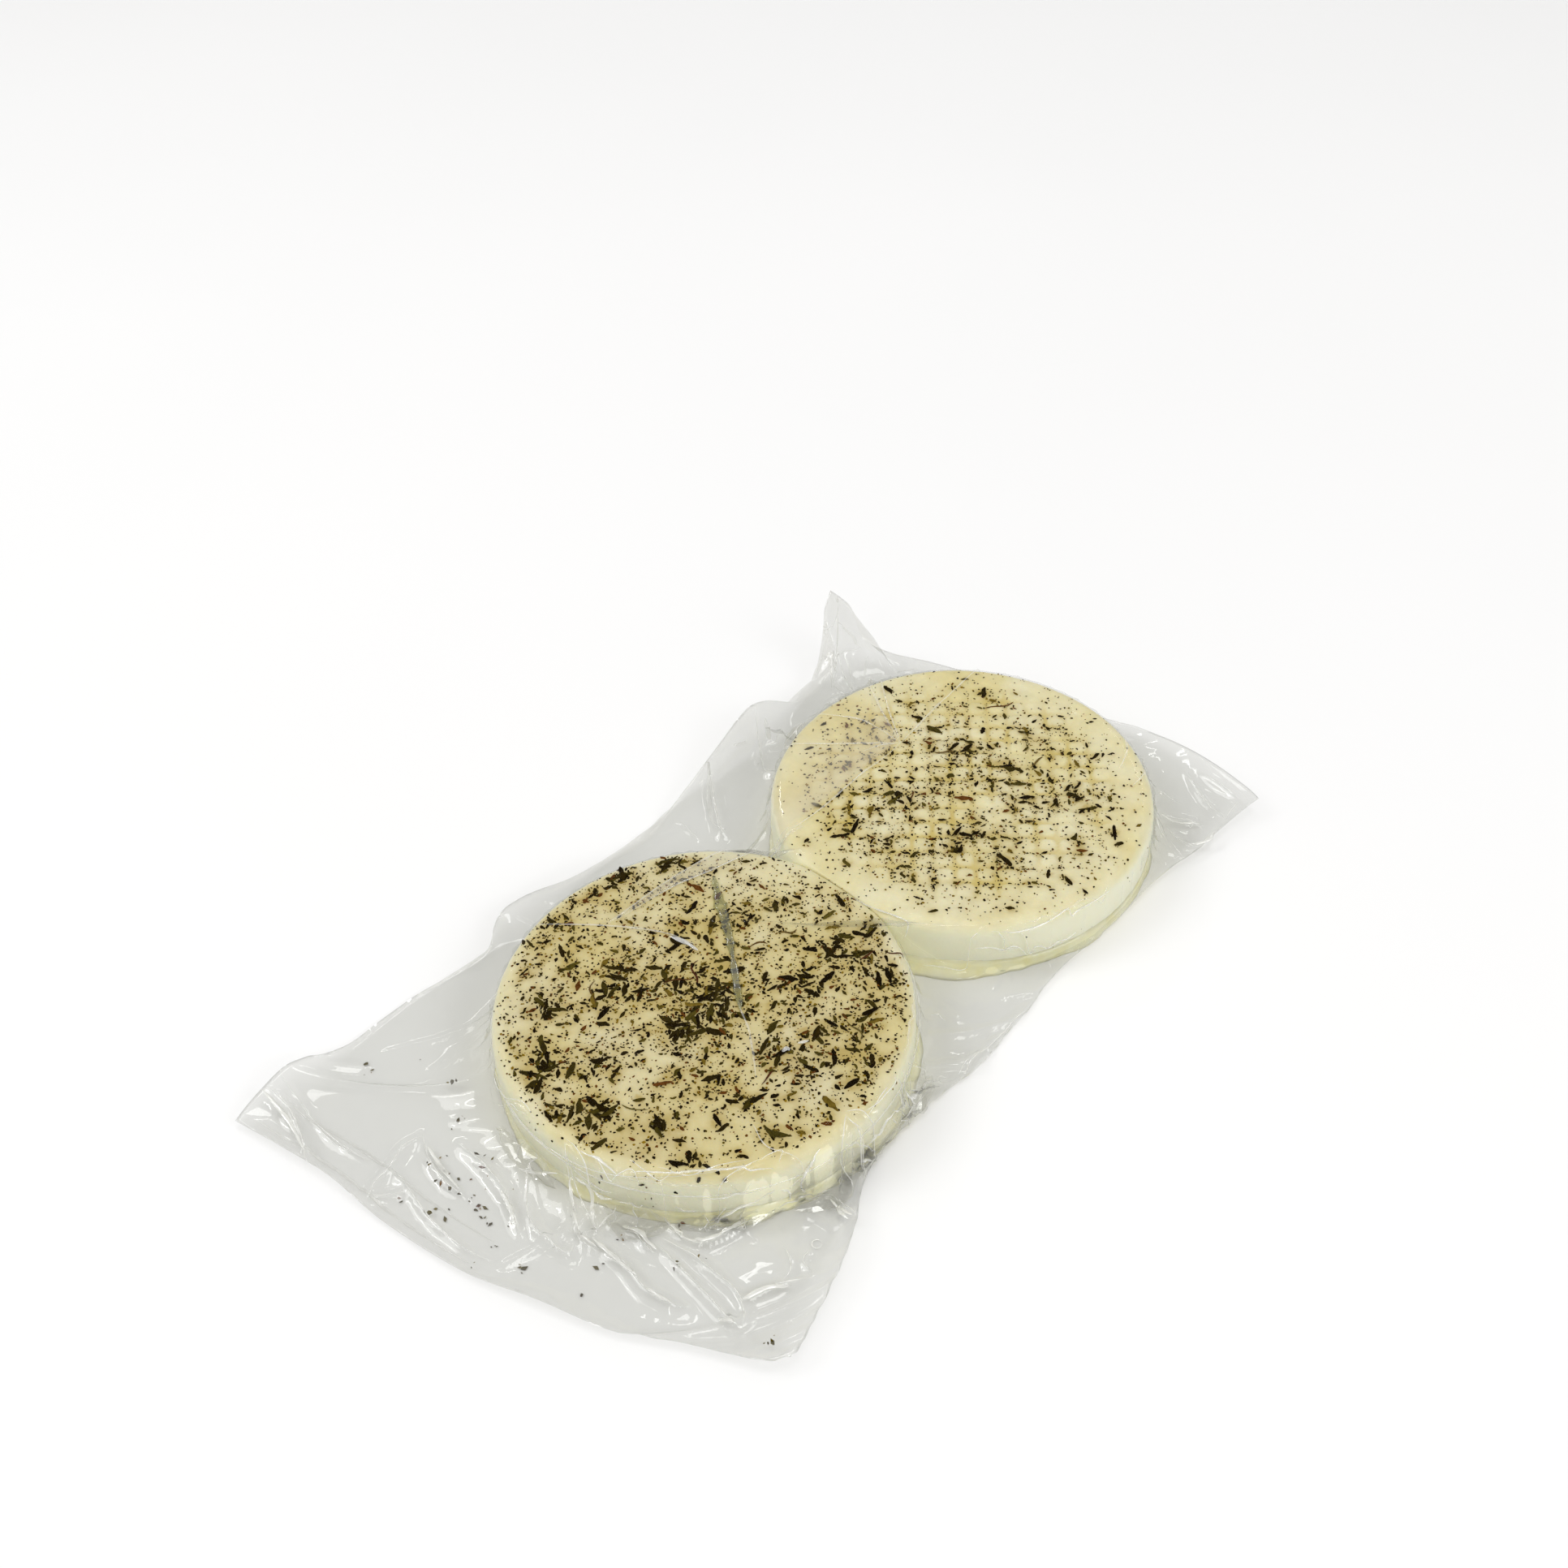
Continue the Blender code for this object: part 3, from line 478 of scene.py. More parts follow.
class Paint(Nodes):
    """A material's nodes."""

    def __init__(self, name):
        self.material = bpy.data.materials.new(name)
        self.material.use_nodes = True
        self.tree = self.material.node_tree
        self.shader = self.tree.nodes["Principled BSDF"]
        self.output = self.tree.nodes["Material Output"]
        self.place = self.add("ShaderNodeTexCoord").outputs["Object"]

    def finish(self, values):
        """Feeds the shader and hands over the material."""
        for key, value in values.items():
            self.feed(self.shader.inputs[key], value)
        return self.material

    def noise(self, scale, detail=2.0, rough=0.5, warp=0.0):
        values = {"Vector": self.place, "Scale": scale, "Detail": detail, "Roughness": rough,
                  "Distortion": warp}
        return self.add("ShaderNodeTexNoise", values).outputs["Fac"]

    def ramp(self, factor, *stops):
        node = self.add("ShaderNodeValToRGB", {"Fac": factor})
        elements = node.color_ramp.elements
        elements[0].position, elements[0].color = stops[0]
        elements[1].position, elements[1].color = stops[-1]
        for position, tone in stops[1:-1]:
            elements.new(position).color = tone
        return node.outputs["Color"]

    def greys(self, factor, low, high):
        """A ramp from one grey to another, each given with its position."""
        return self.ramp(factor, (low[0], grey(low[1])), (high[0], grey(high[1])))

    def mix(self, factor, first, second, how="MIX"):
        node = self.add("ShaderNodeMix", {"Factor": factor}, data_type="RGBA", blend_type=how)
        self.feed(node.inputs["A"], first)
        self.feed(node.inputs["B"], second)
        return next(s for s in node.outputs if s.enabled and s.type == "RGBA")

    def math(self, how, first, second=0.5, clamp=False, third=0.0):
        return self.step("ShaderNodeMath", {0: first, 1: second, 2: third}, operation=how, use_clamp=clamp)

    def value(self, name):
        return self.add("ShaderNodeAttribute", attribute_name=name).outputs["Fac"]

    def bump(self, height, strength, distance, before=None):
        node = self.add("ShaderNodeBump", {"Height": height, "Strength": strength, "Distance": distance})
        if before is not None:
            self.feed(node.inputs["Normal"], before)
        return node.outputs["Normal"]


def grey(level):
    return (level, level, level, 1.0)


def colour(red, green, blue):
    """A colour given as eye values from 0 to 255."""
    linear = []
    for part in (red, green, blue):
        share = part / 255.0
        linear.append(share / 12.92 if share <= 0.04045 else ((share + 0.055) / 1.055) ** 2.4)
    return (*linear, 1.0)


def cheese_paint():
    """Pale ivory curd, yellower at the side, stained warm round the herbs."""
    looks = bpy.context.scene.cheese_looks
    paint = Paint("cheese")
    cloud = paint.noise(42.0, 3.0, 0.55, 0.4)
    cloud = paint.ramp(cloud, (0.32, (*looks.curd, 1.0)), (0.68, (*looks.pale, 1.0)))
    fine = paint.greys(paint.noise(310.0, 4.0, 0.6), (0.3, 0.90), (0.7, 1.0))
    body = paint.mix(1.0, cloud, fine, "MULTIPLY")
    body = paint.mix(paint.value("side"), body, (*looks.side, 1.0))
    stain = paint.value("stain")
    patchy = paint.math("ADD", paint.noise(160.0, 3.0, 0.6), 0.4)
    stain = paint.math("MULTIPLY", stain, patchy, True)
    body = paint.mix(paint.math("MULTIPLY", stain, 0.75, True), body, (*looks.stain, 1.0))
    groove = paint.math("MULTIPLY", paint.value("groove"), 0.8)
    body = paint.mix(groove, body, (*looks.groove, 1.0))
    gloss = paint.greys(paint.noise(90.0, 2.0), (0.3, 0.34), (0.7, 0.52))
    curd = paint.bump(paint.noise(760.0, 3.0, 0.65), 0.25, 0.0003)
    pits = paint.step("ShaderNodeTexVoronoi", {"Vector": paint.place, "Scale": 260.0}, feature="SMOOTH_F1")
    return paint.finish({
        "Base Color": body,
        "Roughness": gloss,
        "Subsurface Weight": 0.25,
        "Subsurface Radius": (1.0, 0.75, 0.35),
        "Subsurface Scale": 0.0035,
        "Specular IOR Level": 0.35,
        "Normal": paint.bump(pits, 0.12, 0.0004, curd),
    })


def whey_paint():
    """Set yellow whey: glossy, pale, with deeper streaks."""
    paint = Paint("whey")
    tone = paint.noise(120.0, 3.0, 0.6, 0.4)
    tone = paint.ramp(tone, (0.3, colour(240, 232, 176)), (0.7, colour(249, 246, 212)))
    return paint.finish({
        "Base Color": tone,
        "Roughness": 0.16,
        "Subsurface Weight": 0.3,
        "Subsurface Radius": (1.0, 0.8, 0.4),
        "Subsurface Scale": 0.003,
        "Normal": paint.bump(paint.noise(700.0, 2.0, 0.5), 0.3, 0.0003),
    })


def herb_paint(name, stops, roughness):
    """Dried leaf: each flake takes its own tone, with darker and lighter patches along it."""
    paint = Paint(name)
    tone = paint.ramp(paint.value("tone"), *stops)
    patches = paint.greys(paint.noise(900.0, 3.0, 0.6), (0.3, 0.55), (0.75, 1.25))
    return paint.finish({
        "Base Color": paint.mix(1.0, tone, patches, "MULTIPLY"),
        "Roughness": roughness,
        "Specular IOR Level": 0.02,
        "Normal": paint.bump(paint.noise(2600.0, 2.0), 0.4, 0.0002),
    })


LEAF_TONES = [(0.0, colour(24, 15, 1)), (0.3, colour(46, 35, 6)), (0.55, colour(74, 64, 18)),
              (0.78, colour(112, 98, 34)), (0.86, colour(146, 108, 36)), (1.0, colour(88, 40, 14))]
SPECK_TONES = [(0.0, colour(22, 12, 1)), (0.4, colour(50, 38, 4)), (0.62, colour(100, 84, 14)),
               (0.84, colour(158, 126, 30)), (1.0, colour(98, 46, 12))]
STEM_TONES = [(0.0, colour(74, 38, 24)), (0.5, colour(104, 60, 34)), (1.0, colour(120, 112, 58))]


def film_paint(name, haze, tint, milk, slanted=SLANT_MIRROR, shine=LOOSE_MIRROR, glow=0.0):
    """Clear film: it passes most of the light, mirrors at a slant, and hazes where it is loose."""
    paint = Paint(name)
    # On crease lines and crumpled facets this share sets their painted white, in places a painted highlight
    loose = paint.value("loose")
    through = paint.step("ShaderNodeBsdfTransparent", {"Color": tint})
    milk = paint.mix(paint.value("warm"), milk, WARM_MILK)
    cloud = paint.step("ShaderNodeBsdfDiffuse", {"Color": milk})
    behind = paint.step("ShaderNodeBsdfTranslucent", {"Color": milk})
    cloud = paint.step("ShaderNodeMixShader", {0: glow, 1: cloud, 2: behind})
    streaks = paint.greys(paint.noise(34.0, 3.0, 0.6, 0.8), (0.3, 0.6), (0.7, 1.0))
    share = paint.math("MULTIPLY", paint.math("MULTIPLY", loose, haze), streaks, True)
    hazy = paint.step("ShaderNodeMixShader", {0: share, 1: through, 2: cloud})
    ripple = paint.bump(paint.noise(75.0, 2.0, 0.5, 0.5), 0.30, 0.002)
    ripple = paint.bump(paint.noise(420.0, 2.0, 0.5), 0.08, 0.0005, ripple)
    mirror = paint.step("ShaderNodeBsdfGlossy", {"Color": grey(1.0), "Roughness": 0.06, "Normal": ripple})
    slant = paint.add("ShaderNodeLayerWeight", {"Blend": 0.5, "Normal": ripple}).outputs["Facing"]
    flat = paint.math("MULTIPLY_ADD", loose, shine, False, MIRROR_SHARE)
    slant = paint.math("MULTIPLY_ADD", paint.math("POWER", slant, 5.0), slanted, True, flat)
    film = paint.step("ShaderNodeMixShader", {0: slant, 1: hazy, 2: mirror})
    paint.feed(paint.output.inputs["Surface"], film)
    paint.tree.nodes.remove(paint.shader)
    return paint.material


class Round:
    """One cheese's outline and height, in millimetres from where the cheeses touch."""

    def __init__(self, side):
        self.side = side
        self.x = side * HALF_SPACING

    def radius(self, angle):
        wobble = np.sin(2 * angle + 0.7 + self.side) + 0.6 * np.sin(3 * angle - 1.1 * self.side)
        return RADIUS + OUT_OF_ROUND * wobble / 1.6 * np.abs(np.sin(angle))

    def mat(self, x, y):
        """Depth of the draining mat's grooves, on the back cheese only."""
        if self.side < 0:
            return 0.0
        away_x = x - self.x
        along = away_x * math.cos(MAT_TURN) + y * math.sin(MAT_TURN)
        across = y * math.cos(MAT_TURN) - away_x * math.sin(MAT_TURN)
        bump = abs(math.cos(math.pi * along / MAT_PITCH) * math.cos(math.pi * across / MAT_PITCH))
        pad = float(smooth_step(0.08, 0.52, bump))
        return MAT_DEPTH * (1.0 - pad) * (1.0 - float(smooth_step(*MAT_REACH, math.hypot(away_x, y))))

    def top(self, x, y):
        away = math.hypot(x - self.x, y) / RADIUS
        place = Vector((x * HILLS_PER_MM, y * HILLS_PER_MM, self.side * HILLS_PER_MM / MM))
        hills = UNEVENNESS * noise.noise(place)
        return TOP + DOME * (1.0 - away * away) + hills - self.mat(x, y)

    def surface(self, x, y):
        """The top with its rounded rim."""
        over = max(math.hypot(x - self.x, y) - RADIUS + RIM_ROUND, 0.0)
        return self.top(x, y) - RIM_ROUND + math.sqrt(max(RIM_ROUND ** 2 - over ** 2, 0.0))

    def apart(self, x, gap=HALF_GAP):
        """Keeps a point on this cheese's side of the place where the two touch."""
        return max(x, gap) if self.side > 0 else min(x, -gap)


FRONT = Round(-1)
BACK = Round(1)
ROUNDS = (FRONT, BACK)


def cheese_top(x, y):
    return (FRONT if x < 0 else BACK).top(x, y)


def rim_profile():
    """From the top's edge down and under: inset from the outline, and height."""
    profile = []
    for k in range(1, 9):
        angle = math.pi / 2 * k / 8
        profile.append((RIM_ROUND * (1 - math.sin(angle)), TOP - RIM_ROUND * (1 - math.cos(angle))))
    low = CHEESE_BASE + BASE_ROUND
    high = TOP - RIM_ROUND
    for k in range(1, 9):
        t = k / 9
        profile.append((-4 * BULGE * t * (1 - t), high + (low - high) * t))
    for k in range(0, 6):
        angle = math.pi / 2 * k / 5
        height = CHEESE_BASE + BASE_ROUND * (1 - math.sin(angle))
        profile.append((BASE_ROUND * (1 - math.cos(angle)), height))
    return profile


def lump(x, y, z):
    """Fine unevenness of pressed curd."""
    place = Vector((x, y, z))
    return FINE_LUMP * (noise.noise(place * 0.22) + 0.6 * noise.noise(place * 0.61))


def groove_tone(cheese, x, y):
    """How clearly a mat groove shows: the print is faint in places."""
    depth = cheese.mat(x, y) / MAT_DEPTH
    if depth <= 0.0:
        return 0.0
    clear = 0.5 + 1.1 * noise.noise(Vector((x * 0.09, y * 0.09, 31.0)))
    return depth * min(1.0, max(0.18, clear))


def cheese_mesh(name, cheese, material):
    """Rings from the middle of the top over the rim and under to the middle of the base."""
    points = [(cheese.x, 0.0, cheese.top(cheese.x, 0.0))]
    sides = [0.0]
    angles = [TURN * k / SECTORS for k in range(SECTORS)]
    reaches = [cheese.radius(angle) for angle in angles]
    for ring in range(1, TOP_RINGS + 1):
        share = ring / TOP_RINGS
        for angle, reach in zip(angles, reaches):
            away = (reach - RIM_ROUND) * share
            x = cheese.x + away * math.cos(angle)
            y = away * math.sin(angle)
            fade = 1.0 - 0.6 * smooth_step(0.93, 1.0, share)
            points.append((x, y, cheese.top(x, y) + lump(x, y, 0.0) * fade))
            sides.append(0.0)
    edge = points[-SECTORS:]
    for inset, height in rim_profile():
        blend = smooth_step(TOP - RIM_ROUND, TOP, height)
        for k, (angle, reach) in enumerate(zip(angles, reaches)):
            dent = lump(math.cos(angle) * 55, math.sin(angle) * 55, height * 2)
            away = reach - inset + dent
            x = cheese.x + away * math.cos(angle)
            rise = (edge[k][2] - TOP) * blend
            points.append((cheese.apart(x), away * math.sin(angle), height + rise))
            sides.append(1.0 - float(blend))
    points.append((cheese.x, 0.0, CHEESE_BASE))
    sides.append(1.0)
    rows = TOP_RINGS + len(rim_profile())
    faces = []
    for k in range(SECTORS):
        after = (k + 1) % SECTORS
        faces.append((0, 1 + k, 1 + after))
        for row in range(rows - 1):
            a = 1 + row * SECTORS
            b = a + SECTORS
            faces.append((a + k, b + k, b + after, a + after))
        last = 1 + (rows - 1) * SECTORS
        faces.append((len(points) - 1, last + after, last + k))
    thing = mesh_object(name, points, faces, material)
    grooves = [groove_tone(cheese, p[0], p[1]) * (1.0 - side) for p, side in zip(points, sides)]
    store(thing.data, "side", sides)
    store(thing.data, "stain", [0.0] * len(points))
    store(thing.data, "groove", grooves)
    return thing


def flake_form(name, stations, bend, arch, fold, ragged, draws):
    """A dried leaf one unit long: pointed, bent, broadest off its middle, and folded along its rib."""
    mesh = bmesh.new()
    rings = []
    skew = draws.uniform(0.6, 1.5)
    kink = draws.uniform(-0.3, 0.3)
    for k in range(stations):
        t = (k + 0.6) / (stations + 0.2)
        width = math.sin(math.pi * t ** skew) ** 0.6 * (1.0 + draws.uniform(-ragged, ragged)) / 2
        x = t - 0.5
        y = bend * (x * x - 0.25) + kink * bend * math.sin(TURN * t)
        z = arch * (0.25 - x * x)
        ring = [(x, y + width, z - fold * width), (x, y, z + 0.5), (x, y - width, z - fold * width),
                (x, y, z - 0.5)]
        rings.append([mesh.verts.new(p) for p in ring])
    tips = [mesh.verts.new((-0.5, 0.0, 0.0)), mesh.verts.new((0.5, 0.0, 0.0))]
    for k in range(4):
        after = (k + 1) % 4
        mesh.faces.new((tips[0], rings[0][k], rings[0][after]))
        mesh.faces.new((tips[1], rings[-1][after], rings[-1][k]))
        for ring, onward in zip(rings, rings[1:]):
            mesh.faces.new((ring[k], onward[k], onward[after], ring[after]))
    bmesh.ops.recalc_face_normals(mesh, faces=mesh.faces)
    return form_object(name, mesh)


def chip_form(name, draws):
    """An irregular flat crumb about one unit across, with a pointed top and bottom."""
    mesh = bmesh.new()
    sides = draws.choice((4, 5, 6))
    rim = []
    for k in range(sides):
        angle = TURN * (k + draws.uniform(-0.3, 0.3)) / sides
        reach = draws.uniform(0.35, 0.62)
        place = (reach * math.cos(angle), reach * math.sin(angle), draws.uniform(-0.1, 0.1))
        rim.append(mesh.verts.new(place))
    tips = [mesh.verts.new((draws.uniform(-0.15, 0.15), draws.uniform(-0.15, 0.15), z)) for z in (0.5, -0.5)]
    for k in range(sides):
        after = (k + 1) % sides
        mesh.faces.new((rim[k], rim[after], tips[0]))
        mesh.faces.new((rim[after], rim[k], tips[1]))
    return form_object(name, mesh)


def form_object(name, mesh):
    data = bpy.data.meshes.new(name)
    mesh.to_mesh(data)
    mesh.free()
    return bpy.data.objects.new(name, data)


class Wiring(Nodes):
    """Geometry Nodes with named inputs, whose result is kept as an object's plain mesh."""

    def __init__(self, name, **inputs):
        self.tree = bpy.data.node_groups.new(name, "GeometryNodeTree")
        face = self.tree.interface
        face.new_socket("Geometry", in_out="INPUT", socket_type="NodeSocketGeometry")
        self.sockets = {}
        for key, kind in inputs.items():
            self.sockets[key] = face.new_socket(key, in_out="INPUT", socket_type="NodeSocket" + kind)
        face.new_socket("Geometry", in_out="OUTPUT", socket_type="NodeSocketGeometry")
        self.entry = self.add("NodeGroupInput").outputs

    def stored(self, name, kind="FLOAT"):
        """A value that the mesh keeps under this name."""
        node = self.add("GeometryNodeInputNamedAttribute", {"Name": name}, data_type=kind)
        return node.outputs["Attribute"]

    def close(self, geometry):
        """Ends the tree in plain geometry with its finish."""
        values = {"Geometry": geometry, "Material": self.entry["Finish"]}
        finished = self.step("GeometryNodeSetMaterial", values)
        self.add("NodeGroupOutput", {0: finished})

    def run(self, thing, **values):
        """Runs the nodes on the object, whose mesh becomes what they make."""
        modifier = thing.modifiers.new(self.tree.name, "NODES")
        modifier.node_group = self.tree
        for key, value in values.items():
            modifier[self.sockets[key].identifier] = value
        bpy.context.view_layer.update()
        evaluated = thing.evaluated_get(bpy.context.evaluated_depsgraph_get())
        made = bpy.data.meshes.new_from_object(evaluated)
        thing.modifiers.remove(modifier)
        old = thing.data
        thing.data = made
        made.name = thing.name
        bpy.data.meshes.remove(old)
        return thing


def scatter_nodes(name):
    """Nodes that set one of the forms on each spot, turned, stretched and toned as the spot says."""
    wiring = Wiring(name, Forms="Collection", Size="Float", Seed="Int", Finish="Material")
    entry = wiring.entry
    forms = wiring.step("GeometryNodeCollectionInfo", {
        "Collection": entry["Forms"],
        "Separate Children": True,
        "Reset Children": True,
    })
    pick = wiring.add("FunctionNodeRandomValue", data_type="INT")
    low, high = [socket for socket in pick.inputs if socket.enabled and socket.name in ("Min", "Max")]
    wiring.feed(low, 0)
    wiring.feed(high, 99)
    wiring.feed(pick.inputs["Seed"], entry["Seed"])
    stretch = {0: wiring.stored("stretch", "FLOAT_VECTOR"), "Scale": entry["Size"]}
    laid = wiring.step("GeometryNodeInstanceOnPoints", {
        "Points": entry["Geometry"],
        "Instance": forms,
        "Pick Instance": True,
        "Instance Index": next(socket for socket in pick.outputs if socket.enabled),
        "Rotation": wiring.stored("turn", "FLOAT_VECTOR"),
        "Scale": wiring.step("ShaderNodeVectorMath", stretch, operation="SCALE"),
    })
    wiring.close(wiring.step("GeometryNodeRealizeInstances", {0: laid}))
    return wiring


def ridge_nodes(name):
    """Nodes that draw a low flat-bottomed ridge along each line, as wide as the line's points say."""
    wiring = Wiring(name, Flatness="Float", Finish="Material")
    girth = wiring.stored("girth")
    line = wiring.step("GeometryNodeMeshToCurve", {"Mesh": wiring.entry["Geometry"]})
    line = wiring.step("GeometryNodeSetCurveRadius", {"Curve": line, "Radius": girth})
    line = wiring.step("GeometryNodeSetCurveNormal", {"Curve": line}, mode="Z_UP")
    ring = wiring.step("GeometryNodeCurvePrimitiveCircle", {"Resolution": 8, "Radius": 0.5})
    flat = wiring.step("ShaderNodeCombineXYZ", {"X": 1.0, "Y": wiring.entry["Flatness"], "Z": 1.0})
    ridge = wiring.step("GeometryNodeCurveToMesh", {
        "Curve": line,
        "Profile Curve": wiring.step("GeometryNodeTransform", {"Geometry": ring, "Scale": flat}),
        "Fill Caps": True,
        "Scale": girth,
    })
    solid = wiring.step("GeometryNodeRealizeInstances", {0: ridge})
    wiring.close(wiring.step("GeometryNodeSetShadeSmooth", {0: solid}))
    return wiring


class Spots:
    """Places for small things, with their turns, sizes and tones."""

    def __init__(self):
        self.points = []
        self.turns = []
        self.sizes = []
        self.tones = []

    def add(self, point, turn, size, tone):
        self.points.append(in_frame(*point))
        self.turns.append(turn)
        self.sizes.append([s * MM for s in size])
        self.tones.append(tone)

    def scatter(self, name, forms, material, seed):
        """Sets the forms on the spots and joins them into one piece."""
        data = bpy.data.meshes.new(name)
        data.from_pydata(self.points, [], [])
        store(data, "turn", self.turns, "FLOAT_VECTOR")
        store(data, "stretch", self.sizes, "FLOAT_VECTOR")
        store(data, "tone", self.tones)
        thing = new_object(name, data)
        shelf = bpy.data.collections.new(name + "_forms")
        bpy.context.scene.collection.children.link(shelf)
        for form in forms:
            shelf.objects.link(form)
        size = bpy.context.scene.herb_looks.size
        scatter_nodes(name).run(thing, Forms=shelf, Size=size, Seed=seed, Finish=material)
        for form in forms:
            bpy.data.objects.remove(form, do_unlink=True)
        bpy.data.collections.remove(shelf)
        place_piece(thing, "herbs")


def hump(across, along, spread):
    """A round hump, 1 in the middle, over distances from it."""
    return math.exp(-(across ** 2 + along ** 2) / spread)


def herb_density(cheese, tufts, spread):
    """Chance of herbs at a point: thick in the tufts, patchy elsewhere, thin at the back's far side."""
    def chance(x, y):
        tuft = max(hump(x - tx, y - ty, 2 * spread * spread) for tx, ty in tufts)
        away = math.hypot(x - cheese.x, y)
        broad = 0.5 + 0.9 * noise.noise(Vector((x * 0.075, y * 0.075, 3.0 + cheese.side)))
        fine = 0.5 + 0.9 * noise.noise(Vector((x * 0.28, y * 0.28, 9.0)))
        patch = max(broad, 0.0) * max(fine, 0.0)
        if cheese.side < 0:
            near = smooth_step(30.0, 42.0, (cheese.x - x - y) * 0.707)
            thin = (1.0 - 0.85 * smooth_step(50.5, 54.0, away)) * (1.0 - 0.5 * near)
            thin *= 1.0 - 0.65 * hump(x + 8, y - 12, 130.0)
            thick = 0.42 * hump(x + 57, y, 320.0) + 0.14 * hump(x + 27, y + 28, 220.0)
            return (max(tuft * 0.85, 0.82 * patch + 0.05) + thick) * thin
        middle = hump(x - 44, y + 5, 1300.0)
        rim = 1.0 - smooth_step(41.0, 52.0, away)
        groove = 0.22 + 0.78 * (cheese.mat(x, y) / MAT_DEPTH) ** 1.5
        spot = max(tuft * 0.7, 1.1 * patch) * groove * (0.26 + 0.74 * middle) + 0.025
        return spot * (0.15 + 0.85 * rim)
    return chance


def evened(chance):
    """The chance for dust, which lies more evenly than leaves."""
    return lambda x, y: chance(x, y) ** 0.6


def draw_places(cheese, chance, count, reach, draws):
    """Random places on a top, kept by their chance."""
    places = []
    while len(places) < count:
        away = reach * math.sqrt(draws.random())
        angle = draws.uniform(0, TURN)
        x = cheese.x + away * math.cos(angle)
        y = away * math.sin(angle)
        if draws.random() < chance(x, y):
            places.append((x, y))
    return places


def lay_herbs(spots, cheese, chance, kind, count, draws):
    """Lays flakes of one kind on a top, the small ones the more often."""
    reach, length, width, thick, proud = kind
    for x, y in draw_places(cheese, chance, count, reach, draws):
        share = draws.random() ** 2.2
        size = length[0] + (length[1] - length[0]) * share
        broad = width[0] + (width[1] - width[0]) * min(1.0, share + draws.uniform(0.0, 0.4))
        turn = (draws.uniform(-0.25, 0.25), draws.uniform(-0.06, 0.06), draws.uniform(0, TURN))
        height = cheese.surface(x, y) + proud
        spots.add((x, y, height), turn, (size, broad, thick), draws.choice(HERB_TONES))


def lay_tuft(spots, cheese, x, y, count, reach, draws, tones):
    """A tangle of leaves that lie about one way, with a few across."""
    way = draws.uniform(0, math.pi)
    for _ in range(count):
        px = x + draws.gauss(0, reach)
        py = y + draws.gauss(0, reach * 0.8)
        if math.hypot(px - cheese.x, py) > RADIUS - RIM_ROUND:
            continue
        turn = (draws.uniform(-0.3, 0.3), draws.uniform(-0.08, 0.08), way + draws.gauss(0, 0.6))
        long = 2.2 + 4.4 * draws.random() ** 1.4
        size = (long, 0.55 + long * draws.uniform(0.1, 0.24), 0.36)
        height = cheese.surface(px, py) + draws.uniform(0.02, 0.2)
        spots.add((px, py, height), turn, size, draws.choice(tones))


def bleed(thing, cheese, kinds):
    """Stains the curd round the flakes: a fine tally over the top, spread a little."""
    count = int(2 * RADIUS / STAIN_CELL) + 2
    tally = np.zeros((count, count))
    for kind in kinds:
        for point, size in zip(kind.points, kind.sizes):
            x = (point[0] - CONTACT.x) / MM - cheese.x
            y = (point[1] - CONTACT.y) / MM
            if math.hypot(x, y) < RADIUS:
                cell = (int((x + RADIUS) / STAIN_CELL), int((y + RADIUS) / STAIN_CELL))
                tally[cell] += size[0] * size[1] / (MM * MM)
    tally /= STAIN_CELL * STAIN_CELL
    near = blurred(tally, 2)
    far = blurred(tally, 12)
    values = []
    for vert in thing.data.vertices:
        x = (vert.co.x - CONTACT.x) / MM - cheese.x
        y = (vert.co.y - CONTACT.y) / MM
        cell = tuple(min(max(int((v + RADIUS) / STAIN_CELL), 0), count - 1) for v in (x, y))
        inside = 1.0 - smooth_step(RADIUS - 5.0, RADIUS - 1.0, math.hypot(x, y))
        amount = STAIN_BASE[cheese.side] + 0.5 * near[cell] + 0.9 * far[cell]
        for px, py, reach, more in STAIN_SPOTS[cheese.side]:
            amount += more * hump(x + cheese.x - px, y - py, reach * reach)
        # Below the top the side takes painted shade, on the front cheese only
        values.append(min(1.0, amount) * inside + SIDE_PAINTED_SHADE[cheese.side] * (1.0 - inside))
    thing.data.attributes["stain"].data.foreach_set("value", np.array(values, np.float32))


def blurred(tally, cells):
    """A blur of the tally by repeated neighbour means."""
    for _ in range(cells):
        tally = (tally + np.roll(tally, 1, 0) + np.roll(tally, -1, 0)) / 3
        tally = (tally + np.roll(tally, 1, 1) + np.roll(tally, -1, 1)) / 3
    return tally


def rim_chips(spots, cheese, count, draws):
    """Crumbs caught under the film on the rounded rim and the side."""
    for _ in range(count):
        angle = draws.uniform(0, TURN)
        if math.cos(angle) * cheese.side < -0.6:
            continue
        drop = draws.random() ** 1.6
        tip = min(drop * 3.0, 1.0) * math.pi / 2
        away = cheese.radius(angle) - RIM_ROUND * (1 - math.sin(tip)) + 0.1
        height = TOP - RIM_ROUND * (1 - math.cos(tip)) - max(drop - 0.33, 0.0) * 14.0
        long = draws.uniform(0.3, 0.9)
        point = (cheese.x + away * math.cos(angle), away * math.sin(angle), height)
        turn = (tip, draws.uniform(0, 3), angle + math.pi / 2)
        size = (long, long * draws.uniform(0.4, 1.0), 0.35)
        spots.add(point, turn, size, draws.random())
    for degrees, down in SIDE_FLAKES if cheese.side < 0 else ():
        angle = math.radians(degrees)
        tip = min(down / RIM_ROUND, math.pi / 2)
        long = 0.7 + 1.9 * draws.random() ** 2
        turn = (tip, draws.uniform(0, 3), angle + math.pi / 2)
        size = (long, long * draws.uniform(0.25, 0.7), 0.4)
        spots.add(rim_place(cheese, angle, down, 0.0), turn, size, draws.random())


